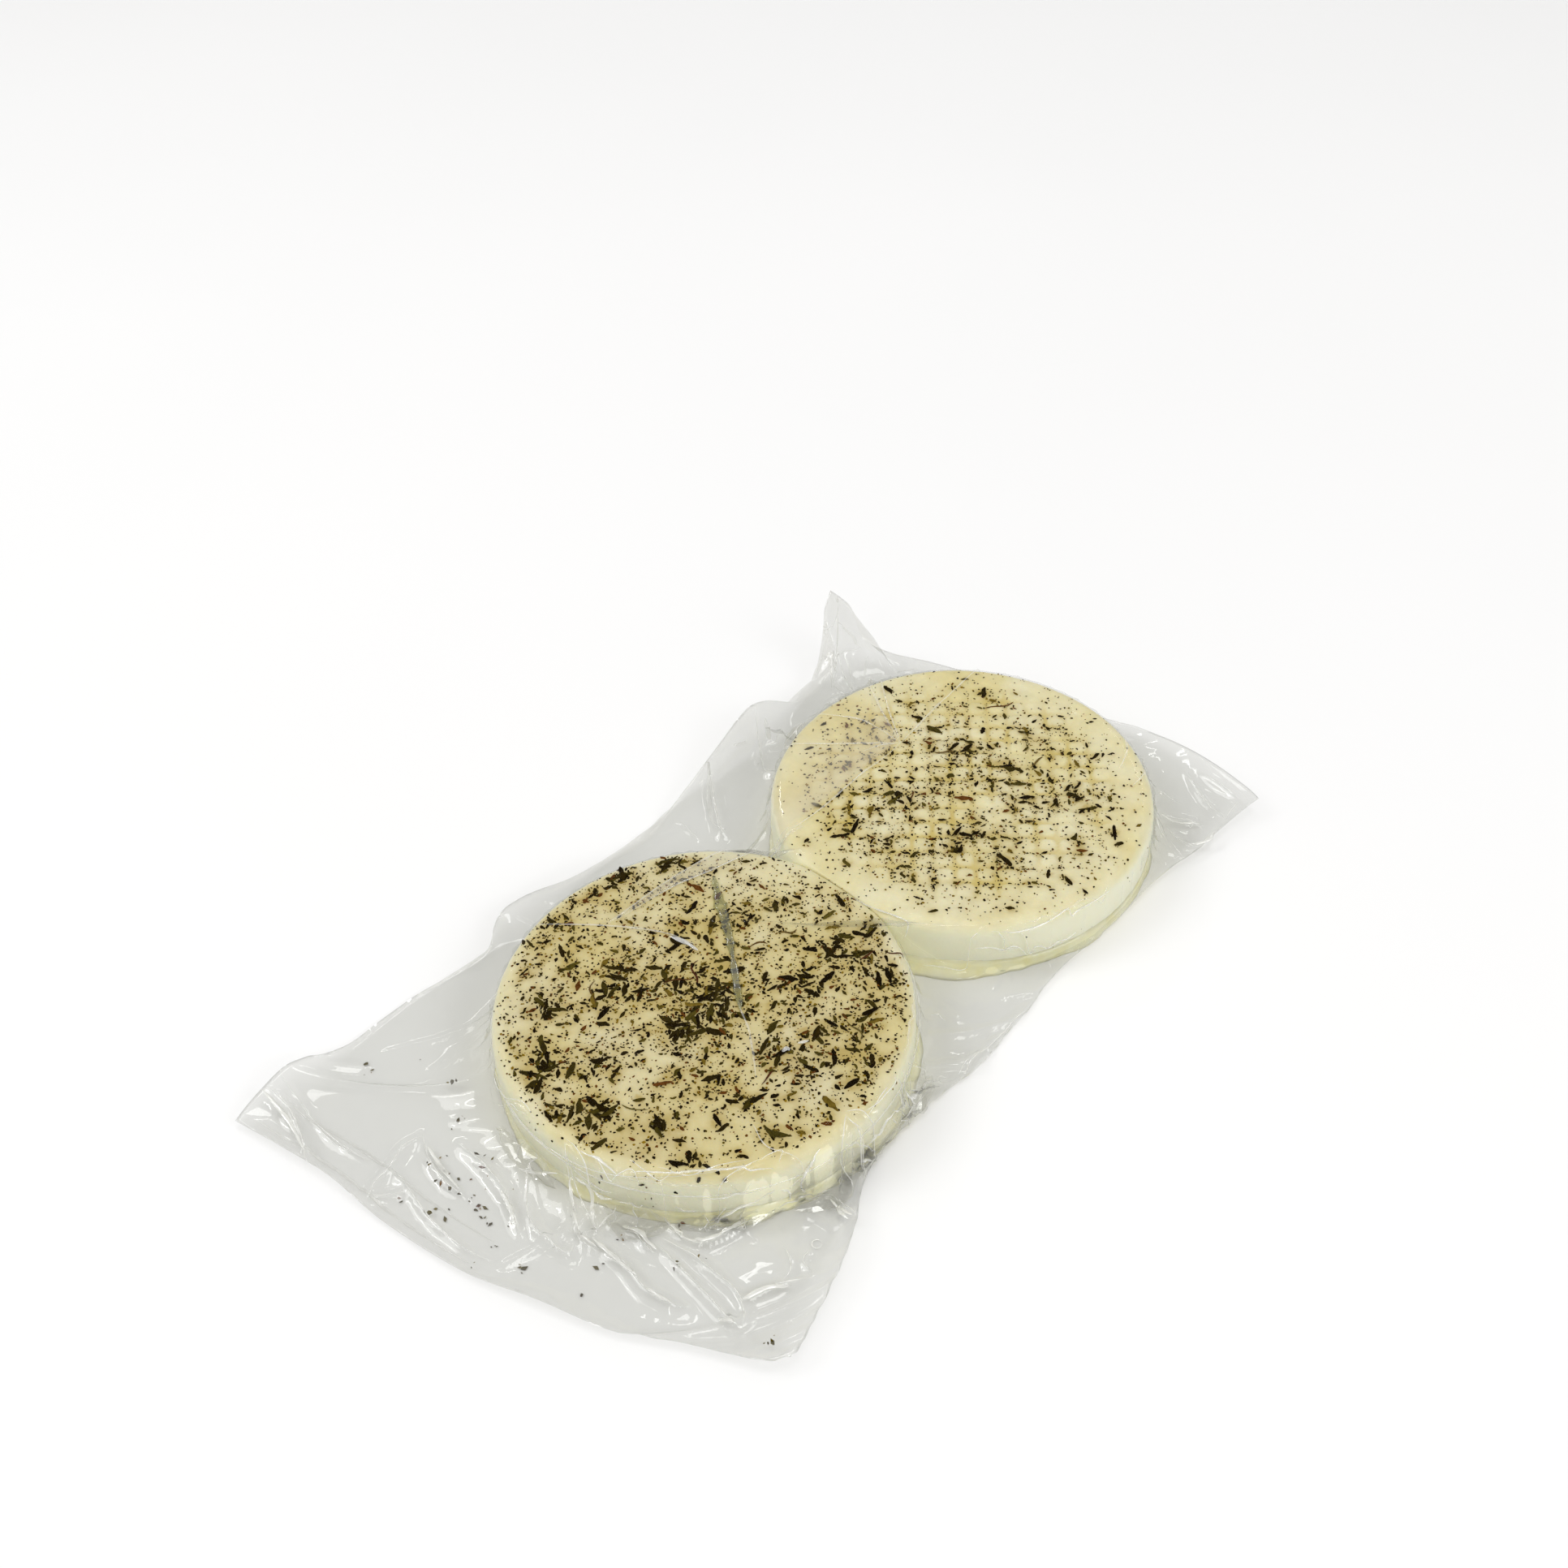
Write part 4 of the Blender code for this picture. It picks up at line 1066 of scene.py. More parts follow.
def follow(points, step=0.5):
    """A smooth line through the points, the step being how close its points lie in plan."""
    listed = np.array(points, float)
    padded = np.vstack([2 * listed[0] - listed[1], listed, 2 * listed[-1] - listed[-2]])
    line = []
    for k in range(1, len(padded) - 2):
        before, start, end, after = padded[k - 1:k + 3]
        pieces = max(2, int(np.linalg.norm(end[:2] - start[:2]) / step))
        for t in np.arange(pieces) / pieces:
            bend = (2 * before - 5 * start + 4 * end - after) * t * t
            twist = (3 * start - before - 3 * end + after) * t ** 3
            line.append((2 * start + (end - before) * t + bend + twist) / 2)
    line.append(padded[-2])
    return np.array(line)


def evenly(line, count):
    """The line sampled at equal distances."""
    steps = np.linalg.norm(np.diff(line, axis=0), axis=1)
    run = np.concatenate([[0.0], np.cumsum(steps)])
    wanted = np.linspace(0.0, run[-1], count)
    return np.stack([np.interp(wanted, run, line[:, k]) for k in range(line.shape[1])], 1)


def outline_sides(rows, columns):
    """The four edges as rows of points: left and right front to back, front and back right to left."""
    edges = ((LEFT_EDGE, rows), (RIGHT_EDGE, rows), (FRONT_END, columns), (BACK_END, columns))
    return [evenly(follow(edge), count) for edge, count in edges]


def spanned(sides):
    """A smooth patch between the four edges."""
    left, right, front, back = sides
    u = np.linspace(0, 1, len(left))[:, None, None]
    v = np.linspace(0, 1, len(front))[None, :, None]
    patch = (1 - v) * right[:, None] + v * left[:, None] + (1 - u) * front[None] + u * back[None]
    corners = (1 - u) * (1 - v) * front[0] + (1 - u) * v * front[-1]
    return patch - corners - u * (1 - v) * back[0] - u * v * back[-1]


def inward(count, length):
    """Distance of each row or column from the nearer end of the film."""
    steps = np.arange(count)
    return np.minimum(steps, steps[::-1]) * length / (count - 1)


def from_middle(x, y):
    """Distance from the middle of the nearest cheese."""
    return np.minimum(np.hypot(x - FRONT.x, y), np.hypot(x - BACK.x, y))


def to_stretch(x, y, start, end):
    """How far along a straight stretch a place is, from 0 to 1, and its distance from it."""
    run = np.subtract(end[:2], start[:2])
    t = np.clip(((x - start[0]) * run[0] + (y - start[1]) * run[1]) / (run @ run), 0, 1)
    return t, np.hypot(x - start[0] - run[0] * t, y - start[1] - run[1] * t)


def fold_height(x, y):
    """Height of the listed folds over each place."""
    best = np.zeros_like(x)
    for ridge, half_width in FOLDS:
        for start, end in zip(ridge, ridge[1:]):
            t, away = to_stretch(x, y, start, end)
            height = start[2] + (end[2] - start[2]) * t
            best = np.maximum(best, height * np.maximum(0, 1 - away / half_width) ** 1.2)
    return best


def away_from_cheese(sheet):
    """Distance outside the nearest cheese, and the way out of it."""
    best = np.full(sheet.shape[:-1], np.inf)
    out = np.zeros_like(sheet)
    for cheese in ROUNDS:
        dx = sheet[..., 0] - cheese.x
        dy = sheet[..., 1]
        reach = np.hypot(dx, dy) + 1e-9
        over = reach - (RADIUS - RIM_ROUND)
        above = sheet[..., 2] - (PRESSED_TOP - RIM_ROUND)
        across = np.maximum(over, 0)
        up = np.maximum(above, 0)
        length = np.hypot(across, up)
        away = length + np.minimum(np.maximum(over, above), 0) - RIM_ROUND
        rounded = length > 1e-6
        side = np.where(rounded, across / np.maximum(length, 1e-6), over > above)
        rise = np.where(rounded, up / np.maximum(length, 1e-6), over <= above)
        way = np.stack([side * dx / reach, side * dy / reach, rise], -1)
        nearer = away < best
        best = np.where(nearer, away, best)
        out = np.where(nearer[..., None], way, out)
    return best, out


def refine(sheet, rows, columns):
    """The sheet sampled on a finer grid."""
    for axis, count in ((0, rows), (1, columns)):
        spots = np.linspace(0, sheet.shape[axis] - 1, count)
        low = np.minimum(spots.astype(int), sheet.shape[axis] - 2)
        share = (spots - low).reshape((-1, 1, 1) if axis == 0 else (1, -1, 1))
        sheet = np.take(sheet, low, axis) * (1 - share) + np.take(sheet, low + 1, axis) * share
    return sheet


def pull_together(sheet, first, second, length, slack):
    """Moves linked points half way each towards their flat distance."""
    start = sheet[first]
    end = sheet[second]
    way = end - start
    now = np.sqrt((way * way).sum(-1, keepdims=True)) + 1e-9
    share = 0.5 * (1 - length / now)
    share = np.where(share < 0, share * slack, share)
    sheet[first] = start + share * way
    sheet[second] = end - share * way


def keep_lengths(sheet, lengths, slack):
    """Pulls neighbours towards their flat distances, lengthwise, across and slanted."""
    along, across, slanted = lengths
    rows, columns = sheet.shape[:2]
    for odd in (0, 1):
        here, there = np.s_[odd:rows - 1:2], np.s_[odd + 1:rows:2]
        pull_together(sheet, (here, np.s_[:]), (there, np.s_[:]), along[here], slack)
    for odd in (0, 1):
        here, there = np.s_[odd:columns - 1:2], np.s_[odd + 1:columns:2]
        pull_together(sheet, (np.s_[:], here), (np.s_[:], there), across[:, here], slack)
    for odd in (0, 1):
        here, there = np.s_[odd:rows - 1:2], np.s_[odd + 1:rows:2]
        pull_together(sheet, (here, np.s_[:-1]), (there, np.s_[1:]), slanted[here], slack * 0.6)
        pull_together(sheet, (here, np.s_[1:]), (there, np.s_[:-1]), slanted[here], slack * 0.6)


def sheet_normals(sheet):
    """The way out of the film at each point."""
    along = np.gradient(sheet, axis=0)
    across = np.gradient(sheet, axis=1)
    normal = np.cross(along, across)
    return normal / (np.linalg.norm(normal, axis=-1, keepdims=True) + 1e-9)


def flat_lengths(rows, columns):
    """Distances between neighbours while the film still lies flat."""
    v = np.linspace(0, 1, columns)
    edge = SHEET_RIGHT + (SHEET_LEFT - SHEET_RIGHT) * v
    full = edge + (SHEET_MIDDLE - edge) * np.sin(np.pi * v) ** 0.7
    along = np.broadcast_to((full / (rows - 1))[None, :, None], (rows - 1, columns, 1)).copy()
    across = np.full((rows, columns - 1, 1), SHEET_WIDTH / (columns - 1))
    wide = (along[:, :-1] + along[:, 1:]) / 2
    return along, across, np.sqrt(wide ** 2 + (SHEET_WIDTH / (columns - 1)) ** 2)


def relax(sheet, sides, steps, sweeps, vacuum, stiffness):
    """Sucks the sheet down on cheeses and floor while its lengths hold and its edge stays put."""
    lengths = flat_lengths(*sheet.shape[:2])
    edges = (np.s_[:, -1], np.s_[:, 0], np.s_[0], np.s_[-1])
    speed = np.zeros_like(sheet)
    for _ in range(steps):
        speed = speed * 0.9 - sheet_normals(sheet) * vacuum
        speed[..., 2] -= vacuum * 0.6
        moved = sheet + speed
        for sweep in range(sweeps):
            keep_lengths(moved, lengths, 0.9)
            for edge, target in zip(edges, sides):
                moved[edge] += (target - moved[edge]) * 0.06
            if sweep % 2 == 0:
                moved[1:-1] += stiffness * ((moved[:-2] + moved[2:]) / 2 - moved[1:-1])
                moved[:, 1:-1] += stiffness * ((moved[:, :-2] + moved[:, 2:]) / 2 - moved[:, 1:-1])
            moved = held_off(moved)
            moved[..., 2] = np.maximum(moved[..., 2], FILM_GAP)
        speed = moved - sheet
        fast = np.linalg.norm(speed, axis=-1, keepdims=True)
        speed *= np.minimum(1, MOST_SPEED / np.maximum(fast, 1e-9))
        sheet = moved
    return sheet


def smoothed(sheet, share):
    """The sheet with each inner point moved towards the middle of its neighbours."""
    soft = sheet.copy()
    soft[1:-1] += share * ((sheet[2:] + sheet[:-2]) / 2 - sheet[1:-1])
    soft[:, 1:-1] += share * ((sheet[:, 2:] + sheet[:, :-2]) / 2 - sheet[:, 1:-1])
    return soft


def held_off(sheet):
    """The sheet pushed out of the cheeses by the film's gap."""
    away, out = away_from_cheese(sheet)
    return sheet + np.maximum(FILM_GAP - away, 0)[..., None] * out


def sucked_film():
    """The upper film, relaxed on finer and finer grids."""
    draws = np.random.default_rng(3)
    levels = LEVELS
    sheet = None
    for (rows, columns), steps, sweeps, vacuum, stiffness in levels:
        sides = outline_sides(rows, columns)
        if sheet is None:
            sheet = spanned(sides)
            x, y = sheet[..., 0], sheet[..., 1]
            dome = START_HEIGHT * np.clip((START_REACH - from_middle(x, y)) / 10.0, 0, 1)
            sheet[..., 2] = np.maximum.reduce([sheet[..., 2], fold_height(x, y), dome])
            sheet[..., 2] += draws.normal(0, 0.3, sheet.shape[:2])
        else:
            sheet = refine(sheet, rows, columns) + draws.normal(0, 0.03, (rows, columns, 3))
        sheet = relax(sheet, sides, steps, sweeps, vacuum, stiffness)
    return sheet


def cling(sheet):
    """Draws the skirt in against the sides and presses the folds flat on the tops."""
    for _ in range(4):
        sheet = smoothed(sheet, 0.25)
    x, y = sheet[..., 0].copy(), sheet[..., 1].copy()
    weights = []
    shifts = []
    for cheese in ROUNDS:
        reach = np.hypot(x - cheese.x, y)
        away = reach - RADIUS - FILM_GAP
        drawn = np.where(away > 0, np.maximum(away, 1e-6) ** 1.55 / SKIRT_REACH ** 0.55, away)
        drawn = np.where(away > SKIRT_REACH, away, drawn)
        shift = (drawn - away) / np.maximum(reach, 1e-6)
        weights.append(1.0 / (np.maximum(away, 0) + 1.5) ** 4)
        shifts.append((shift * (x - cheese.x), shift * y))
    total = weights[0] + weights[1]
    for axis in (0, 1):
        sheet[..., axis] += sum(weight * shift[axis] for weight, shift in zip(weights, shifts)) / total
    near = from_middle(sheet[..., 0], sheet[..., 1])
    for row, column in np.argwhere(near < RADIUS + 1.0):
        px, py, pz = sheet[row, column]
        pressed = cheese_top(px, py) + 0.35 + 0.16 * max(pz - PRESSED_TOP - FILM_GAP, 0.0)
        hold = 1.0 - float(smooth_step(RADIUS - 6.0, RADIUS, near[row, column]))
        sheet[row, column, 2] = pz + (pressed - pz) * hold
    sheet = held_off(sheet)
    sheet[..., 2] = np.maximum(sheet[..., 2], 0.45)
    return sheet


def pleats(draws):
    """Little gathers that run out from each round: angle, slant, reach, height and half width."""
    made = []
    for cheese in ROUNDS:
        angle = 0.0
        while angle < TURN:
            angle += draws.uniform(0.05, 0.16)
            if math.cos(angle) * cheese.side < -0.78:
                continue
            reach = draws.uniform(3.0, 9.5)
            slant = draws.uniform(-0.1, 0.1)
            made.append((cheese, angle, slant, reach, draws.uniform(0.4, 1.3), draws.uniform(1.2, 2.1)))
    return made


def raise_ridges(sheet):
    """Pushes the film out along the listed ridges and the gathers round each cheese."""
    x, y = sheet[..., 0], sheet[..., 1]
    lift = np.zeros_like(x)
    for points, height, half_width in RIDGES:
        near = min(math.hypot(px - cheese.x, py) for cheese in ROUNDS for px, py in points)
        height = height * (1.6 if near < RADIUS + 4.0 else 1.25)
        for k, (start, end) in enumerate(zip(points, points[1:])):
            t, away = to_stretch(x, y, start, end)
            along = (k + t) / (len(points) - 1)
            crest = height * (0.35 + 0.65 * np.sin(np.pi * along) ** 0.6)
            lift = np.maximum(lift, crest * np.maximum(0, 1 - away / half_width) ** 1.35)
    for cheese, angle, slant, reach, height, half_width in pleats(random.Random(21)):
        out = np.hypot(x - cheese.x, y) - RADIUS
        turn = np.arctan2(y, x - cheese.x) - angle - slant * np.maximum(out, 0) / 6.0
        across = np.abs((turn + math.pi) % TURN - math.pi) * RADIUS / half_width
        window = smooth_step(-2.0, 0.8, out) * (1 - smooth_step(reach * 0.4, reach, out))
        lift = np.maximum(lift, height * window * np.maximum(0, 1 - across) ** 1.2)
    lift = lift * (0.08 + 0.92 * smooth_step(RADIUS - 6.0, RADIUS, from_middle(x, y)))
    rows, columns = x.shape
    edge = np.minimum(inward(rows, LOOSE_LENGTH)[:, None], inward(columns, UPPER_WIDTH)[None])
    lift = lift * np.clip(edge / 2.5, 0, 1)
    return sheet + sheet_normals(sheet) * lift[..., None]


def under_film(sheet):
    """The lower film: flat on the floor, rising to meet the upper one along the edge."""
    rows, columns = sheet.shape[:2]
    under = spanned((sheet[:, -1], sheet[:, 0], sheet[0], sheet[-1]))
    u = inward(rows, LOOSE_LENGTH)[:, None]
    v = inward(columns, LOWER_WIDTH)[None]
    near_end = np.exp(-((u / 14.0) ** 1.5))
    near_side = np.exp(-((v / 10.0) ** 1.5))
    end_lift = np.where(np.arange(rows)[:, None] < rows / 2, sheet[:1, :, 2], sheet[-1:, :, 2])
    side_lift = np.where(np.arange(columns)[None] < columns / 2, sheet[:, :1, 2], sheet[:, -1:, 2])
    under[..., 2] = FLOOR_GAP + np.maximum(end_lift * near_end, side_lift * near_side)
    under[..., 2] = np.minimum(under[..., 2], np.maximum(sheet[..., 2] - FILM_GAP, FLOOR_GAP))
    inner = (u > 0) & (v > 0)
    under[..., 2] = np.where(inner, under[..., 2], sheet[..., 2])
    return under


def grid_faces(rows, columns):
    """The four corners of each cell of a grid, one face in each row."""
    corner = np.arange(rows * columns).reshape(rows, columns)
    corners = (corner[:-1, :-1], corner[1:, :-1], corner[1:, 1:], corner[:-1, 1:])
    return np.stack([corner.ravel() for corner in corners], 1)


def looseness(sheet):
    """How far the film stands off the cheeses, from 0 where it clings to 1 where it is a loose flap."""
    away, _ = away_from_cheese(sheet)
    loose = smooth_step(0.5, 2.4, away) * 0.36
    x, y = sheet[..., 0], sheet[..., 1]
    # The flap over the back cheese gets more haze: partly doubled film, partly a painted reflection
    flap = smooth_step(0.0, 2.0, y - 24.5 - 0.02 * (x - 5)) * smooth_step(0.0, 6.0, x + 8)
    beyond = smooth_step(0.0, 2.0, (y - 24.8) - 1.62 * (x - 55))
    lifted = smooth_step(15.0, 16.5, sheet[..., 2])
    fade = 0.28 + 0.72 * np.exp(-(((y - 24.5) / 13.0) ** 2))
    return np.maximum(loose, flap * beyond * lifted * fade)


def film_mesh(sheet, material):
    """Upper and lower film as one closed skin, joined along the pouch's edge."""
    rows, columns = sheet.shape[:2]
    inner = (rows - 2) * (columns - 2)
    faces = grid_faces(rows, columns)
    number = np.arange(rows * columns).reshape(rows, columns)
    number[1:-1, 1:-1] = rows * columns + np.arange(inner).reshape(rows - 2, columns - 2)
    faces = np.vstack([faces, number.ravel()[faces[:, ::-1]]])
    under = under_film(sheet)
    points = np.vstack([sheet.reshape(-1, 3), under[1:-1, 1:-1].reshape(-1, 3)])
    thing = mesh_object("pouch_film", points.tolist(), faces.tolist(), material)
    from_back = np.hypot(sheet[..., 0] - BACK.x, sheet[..., 1])
    over_cheese = smooth_step(RADIUS + 1.0, RADIUS - 1.0, from_back)
    for name, values in (("loose", looseness(sheet)), ("warm", over_cheese)):
        store(thing.data, name, np.concatenate([values.ravel(), np.zeros(inner)]))
    return thing


class Drape:
    """Finds the film's surface, so that creases lie on it."""

    def __init__(self, sheet):
        points = [Vector(p) for p in sheet.reshape(-1, 3)]
        self.tree = BVHTree.FromPolygons(points, grid_faces(*sheet.shape[:2]).tolist())

    def under(self, x, y):
        return self.tree.ray_cast(Vector((x, y, 60.0)), Vector((0, 0, -1)))[0]

    def height(self, x, y):
        place = self.under(x, y)
        return 0.5 if place is None else place.z

    def lay(self, line, proud):
        """Sets a line on the film."""
        line[:, 2] = [self.height(x, y) + proud for x, y, _ in line]
        return line

    def snap(self, point, proud):
        """The nearest place on the film, pushed out of it a little."""
        place, normal, _, _ = self.tree.find_nearest(Vector(point))
        return place + normal * proud


def rim_place(cheese, angle, down, gap):
    """A point over the rim: down counts along the rim from the edge of the flat top."""
    tip = min(down / RIM_ROUND, math.pi / 2)
    away = RADIUS - RIM_ROUND * (1 - math.sin(tip)) + BULGE + gap
    below = RIM_ROUND * (1 - math.cos(tip)) + max(down - RIM_ROUND * math.pi / 2, 0.0)
    height = TOP - below + gap * math.cos(tip)
    return (cheese.x + away * math.cos(angle), away * math.sin(angle), max(height, 0.6))


def plan_line(points, count):
    """A smooth line of evenly spaced points through places in plan."""
    return evenly(follow([(x, y, 0.0) for x, y in points]), count)


def pressed_lines(drape):
    """The listed creases over the tops: the first two are wide grey pinches, the rest pale lines, whitened
    creases in part and painted highlights in part.
    """
    lines = []
    for k, (points, width) in enumerate(TOP_CREASES):
        line = drape.lay(plan_line(points, len(points) * 9), 0.12)
        share, milk = (1.0, 0.8) if k < PINCHES else (0.62, 0.42)
        lines.append((line, width * share, 0.15, milk))
    return lines


def painted_glint_lines(drape):
    """Painted highlights: white lines on the loose film's sharp ridges, and the glints and traced lines."""
    lines = []
    for points, height, _ in RIDGES:
        line = plan_line(points, len(points) * 8)
        line = line[[drape.under(x, y) is not None for x, y, _ in line]]
        if len(line) >= 8:
            lines.append((drape.lay(line, 0.07), 0.24 + 0.1 * height, 0.12, 0.8))
    for points, width in PAINTED_GLINTS:
        line = drape.lay(plan_line(points, len(points) * 7), 0.1)
        x, y = points[0]
        by_raised_corner = x > 0 and y > 45
        lines.append((line, width * PAINTED_HIGHLIGHT_GIRTH, 0.1, 0.3 if by_raised_corner else 1.1))
    for points, width, milk in PAINTED_TRACED_HIGHLIGHTS:
        line = evenly(follow(points), len(points) * 7)
        lines.append((np.array([drape.snap(p, 0.25) for p in line]), width * PAINTED_HIGHLIGHT_GIRTH, 0.0, milk))
    return lines


def tent_mesh(drape, material):
    """Crumpled film at the front cheese's foot: sharp facets painted bright and dim, painted highlights on
    folds.
    """
    draws = random.Random(41)
    points = []
    normals = []
    faces = []
    folds = []
    for start, end, reach, climb in TENTS:
        columns = max(4, round(math.radians(end - start) * RADIUS / 2.7))
        first = len(points)
        for k in range(columns + 1):
            window = math.sin(math.pi * (0.12 + 0.76 * k / columns))
            spoke = []
            for j in range(TENT_ROWS):
                share = j / (TENT_ROWS - 1)
                turn = (end - start) * (k + draws.uniform(-0.38, 0.38)) / columns
                angle = math.radians(start + turn)
                away = RADIUS + 0.4 + reach * window * share ** 1.5 + draws.uniform(-0.5, 0.5) * share
                height = climb * window * (1 - share) ** 1.6 + draws.uniform(-0.7, 0.7) * (1 - share)
                target = (FRONT.x + away * math.cos(angle), away * math.sin(angle), max(height, 0.3))
                proud = 0.12 + draws.uniform(0.0, 1.5) * math.sin(math.pi * share) * window
                place = drape.snap(target, proud)
                points.append(place)
                normals.append(drape.snap(target, 1.0) - drape.snap(target, 0.0))
                spoke.append(place + normals[-1] * 0.1)
            # Some folds get a white line, a painted highlight
            if draws.random() < 0.45:
                folds.append((np.array(spoke), draws.uniform(0.35, 0.6), 0.0, draws.uniform(0.6, 1.1)))
        for k in range(columns):
            for j in range(TENT_ROWS - 1):
                a = first + k * TENT_ROWS + j
                b, c, d = a + 1, a + TENT_ROWS + 1, a + TENT_ROWS
                faces += [(a, b, c), (a, c, d)] if draws.random() < 0.5 else [(a, b, d), (b, c, d)]
    count = len(points)
    below = [p - n * 0.08 for p, n in zip(points, normals)]
    skin = faces + [tuple(count + i for i in face[::-1]) for face in faces]
    once = {}
    for face in faces:
        for i, j in zip(face, face[1:] + face[:1]):
            if (j, i) in once:
                del once[(j, i)]
            else:
                once[(i, j)] = True
    skin += [(j, i, count + i, count + j) for i, j in once]
    thing = mesh_object("film_tents", [tuple(p) for p in points + below], skin, material, False)
    tidy_normals(thing)
    # Each facet takes a random haze and mirror share: painted brightness that makes facets bright and dim
    store(thing.data, "loose", [draws.uniform(0.2, 1.1) for _ in thing.data.polygons], domain="FACE")
    return thing, folds


def painted_rim_glint_lines():
    """Painted highlights: pale lines where the film leaves the rims, the listed ones and others that wander
    and dip.
    """
    lines = []
    for side, points in PAINTED_RIM_HIGHLIGHTS:
        cheese = FRONT if side < 0 else BACK
        plan = [(math.radians(angle) * RADIUS, down, 0.0) for angle, down in points]
        run = evenly(follow(plan), len(points) * 14)
        for _ in range(6):
            run[1:-1, 1] = (run[:-2, 1] + run[1:-1, 1] + run[2:, 1]) / 3
        line = [rim_place(cheese, far / RADIUS, down, 0.42) for far, down, _ in run]
        lines.append((np.array(line), 0.7, 0.0, 0.95))
    draws = random.Random(33)
    for cheese in ROUNDS:
        for _ in range(3):
            start = draws.uniform(0, TURN)
            span = draws.uniform(0.2, 0.75)
            level = draws.choice((draws.uniform(1.0, 5.0), draws.uniform(5.0, 15.0)))
            dips = [draws.uniform(0, 1) for _ in range(draws.choice((0, 1, 2)))]
            phase = draws.uniform(0, 50)
            line = []
            for k in range(44):
                t = k / 43
                down = level + 1.3 * noise.noise(Vector((t * span * 14, phase, 0.0)))
                down += sum(2.6 * math.exp(-((t - dip) * span / 0.03) ** 2) for dip in dips)
                angle = start + t * span
                if math.cos(angle) * cheese.side > -0.93:
                    line.append(rim_place(cheese, angle, min(max(down, 0.4), 16.5), 0.42))
            if len(line) > 8:
                lines.append((np.array(line), draws.uniform(0.6, 1.0), 0.0, draws.uniform(0.15, 0.35)))
    return lines


def seal_lines(drape):
    """Faint pairs of lines along the front end, where the pouch was welded."""
    lines = []
    seal = follow([(x, y, 0.0) for x, y, _ in FRONT_END], 1.0)
    for inside in (3.4, 11.4):
        line = seal[int(len(seal) * 0.52):-4] + (inside, 0.0, 0.0)
        lines.append((drape.lay(evenly(line, 70), 0.04), 1.1, 0.0, 0.16))
    return lines


def crease_mesh(name, lines, material):
    """Low ridges of doubled film drawn along the lines."""
    points = []
    edges = []
    girths = []
    milks = []
    draws = random.Random(5)
    for line, width, waver, milk in lines:
        first = len(points)
        phase = draws.uniform(0, 10)
        for k, (x, y, z) in enumerate(line):
            t = k / (len(line) - 1)
            wave = waver * noise.noise(Vector((x * 0.25, y * 0.25, phase)))
            points.append(in_frame(x + wave, y - wave, z))
            uneven = 0.8 + 0.45 * noise.noise(Vector((x * 0.45, y * 0.45, phase)))
            girths.append(width * MM * (0.12 + 0.88 * math.sin(math.pi * t) ** 0.6) * uneven)
            milks.append(milk * (0.75 + 0.6 * noise.noise(Vector((x * 0.3, y * 0.3, phase + 3)))))
        edges += [(first + k, first + k + 1) for k in range(len(line) - 1)]
    data = bpy.data.meshes.new(name)
    data.from_pydata(points, edges, [])
    store(data, "girth", girths)
    # The stored share is how white each line is painted; on the glint lines that white is a painted
    # highlight
    store(data, "loose", milks)
    return ridge_nodes(name).run(new_object(name, data), Flatness=0.3, Finish=material)


def juice_mesh(cheese, material):
    """A thin pool of yellow whey round the foot of a cheese, wide in places and gone in others."""
    points = []
    count = 360
    for k in range(count):
        angle = TURN * k / count
        ring = Vector((math.cos(angle) * 3.2, math.sin(angle) * 3.2, 4.0 + cheese.side))
        width = 0.3 + 2.0 * noise.noise(ring) + 0.7 * noise.noise(ring * 4.1)
        width += 2.0 * math.exp(-((angle - JUICE_POOLS[cheese.side]) / 0.3) ** 2)
        width = min(max(width, 0.1), 3.5)
        climb = 0.45 * width
        reach = cheese.radius(angle)
        top = CHEESE_BASE + BASE_ROUND + 0.8 + climb
        inner = ((-BASE_ROUND * 0.9, 0.18), (-0.5, top - 0.5), (0.08, top))
        outer = ((0.3 + width * 0.2, top * 0.5), (0.5 + width * 0.6, 0.5), (0.6 + width, 0.16))
        for away, height in inner + outer:
            x = cheese.apart(cheese.x + (reach + away) * math.cos(angle), WHEY_GAP)
            points.append((x, (reach + away) * math.sin(angle), height))
    faces = []
    for k in range(count):
        after = (k + 1) % count
        for j in range(6):
            b = (j + 1) % 6
            faces.append((k * 6 + j, after * 6 + j, after * 6 + b, k * 6 + b))
    name = "whey_front" if cheese.side < 0 else "whey_back"
    thing = mesh_object(name, points, faces, material)
    tidy_normals(thing)
    return thing


def fold_band(drape, material):
    """The pinched double fold that runs from the notch over the front cheese."""
    lower = plan_line(FOLD_LOWER, 60)
    upper = plan_line(FOLD_UPPER, 60)
    points = []
    across = 7
    for low, high in zip(lower, upper):
        for k in range(across):
            t = k / (across - 1)
            place = low * (1 - t) + high * t
            rise = 0.22 + 0.28 * math.sin(math.pi * t)
            points.append((place[0], place[1], drape.height(place[0], place[1]) + rise))
    count = len(points)
    points += [(x, y, z - 0.16) for x, y, z in points]
    faces = []
    for row in range(len(lower) - 1):
        for k in range(across - 1):
            a = row * across + k
            b = a + across
            faces.append((a, a + 1, b + 1, b))
            faces.append((count + a, count + b, count + b + 1, count + a + 1))
        for k, flip in ((0, False), (across - 1, True)):
            a = row * across + k
            b = a + across
            side = (a, b, count + b, count + a)
            faces.append(side[::-1] if flip else side)
    for k in range(across - 1):
        faces.append((k + 1, k, count + k, count + k + 1))
        last = (len(lower) - 1) * across + k
        faces.append((last, last + 1, count + last + 1, count + last))
    thing = mesh_object("film_fold", points, faces, material)
    tidy_normals(thing)
    store(thing.data, "loose", [0.11] * len(thing.data.vertices))
    return thing


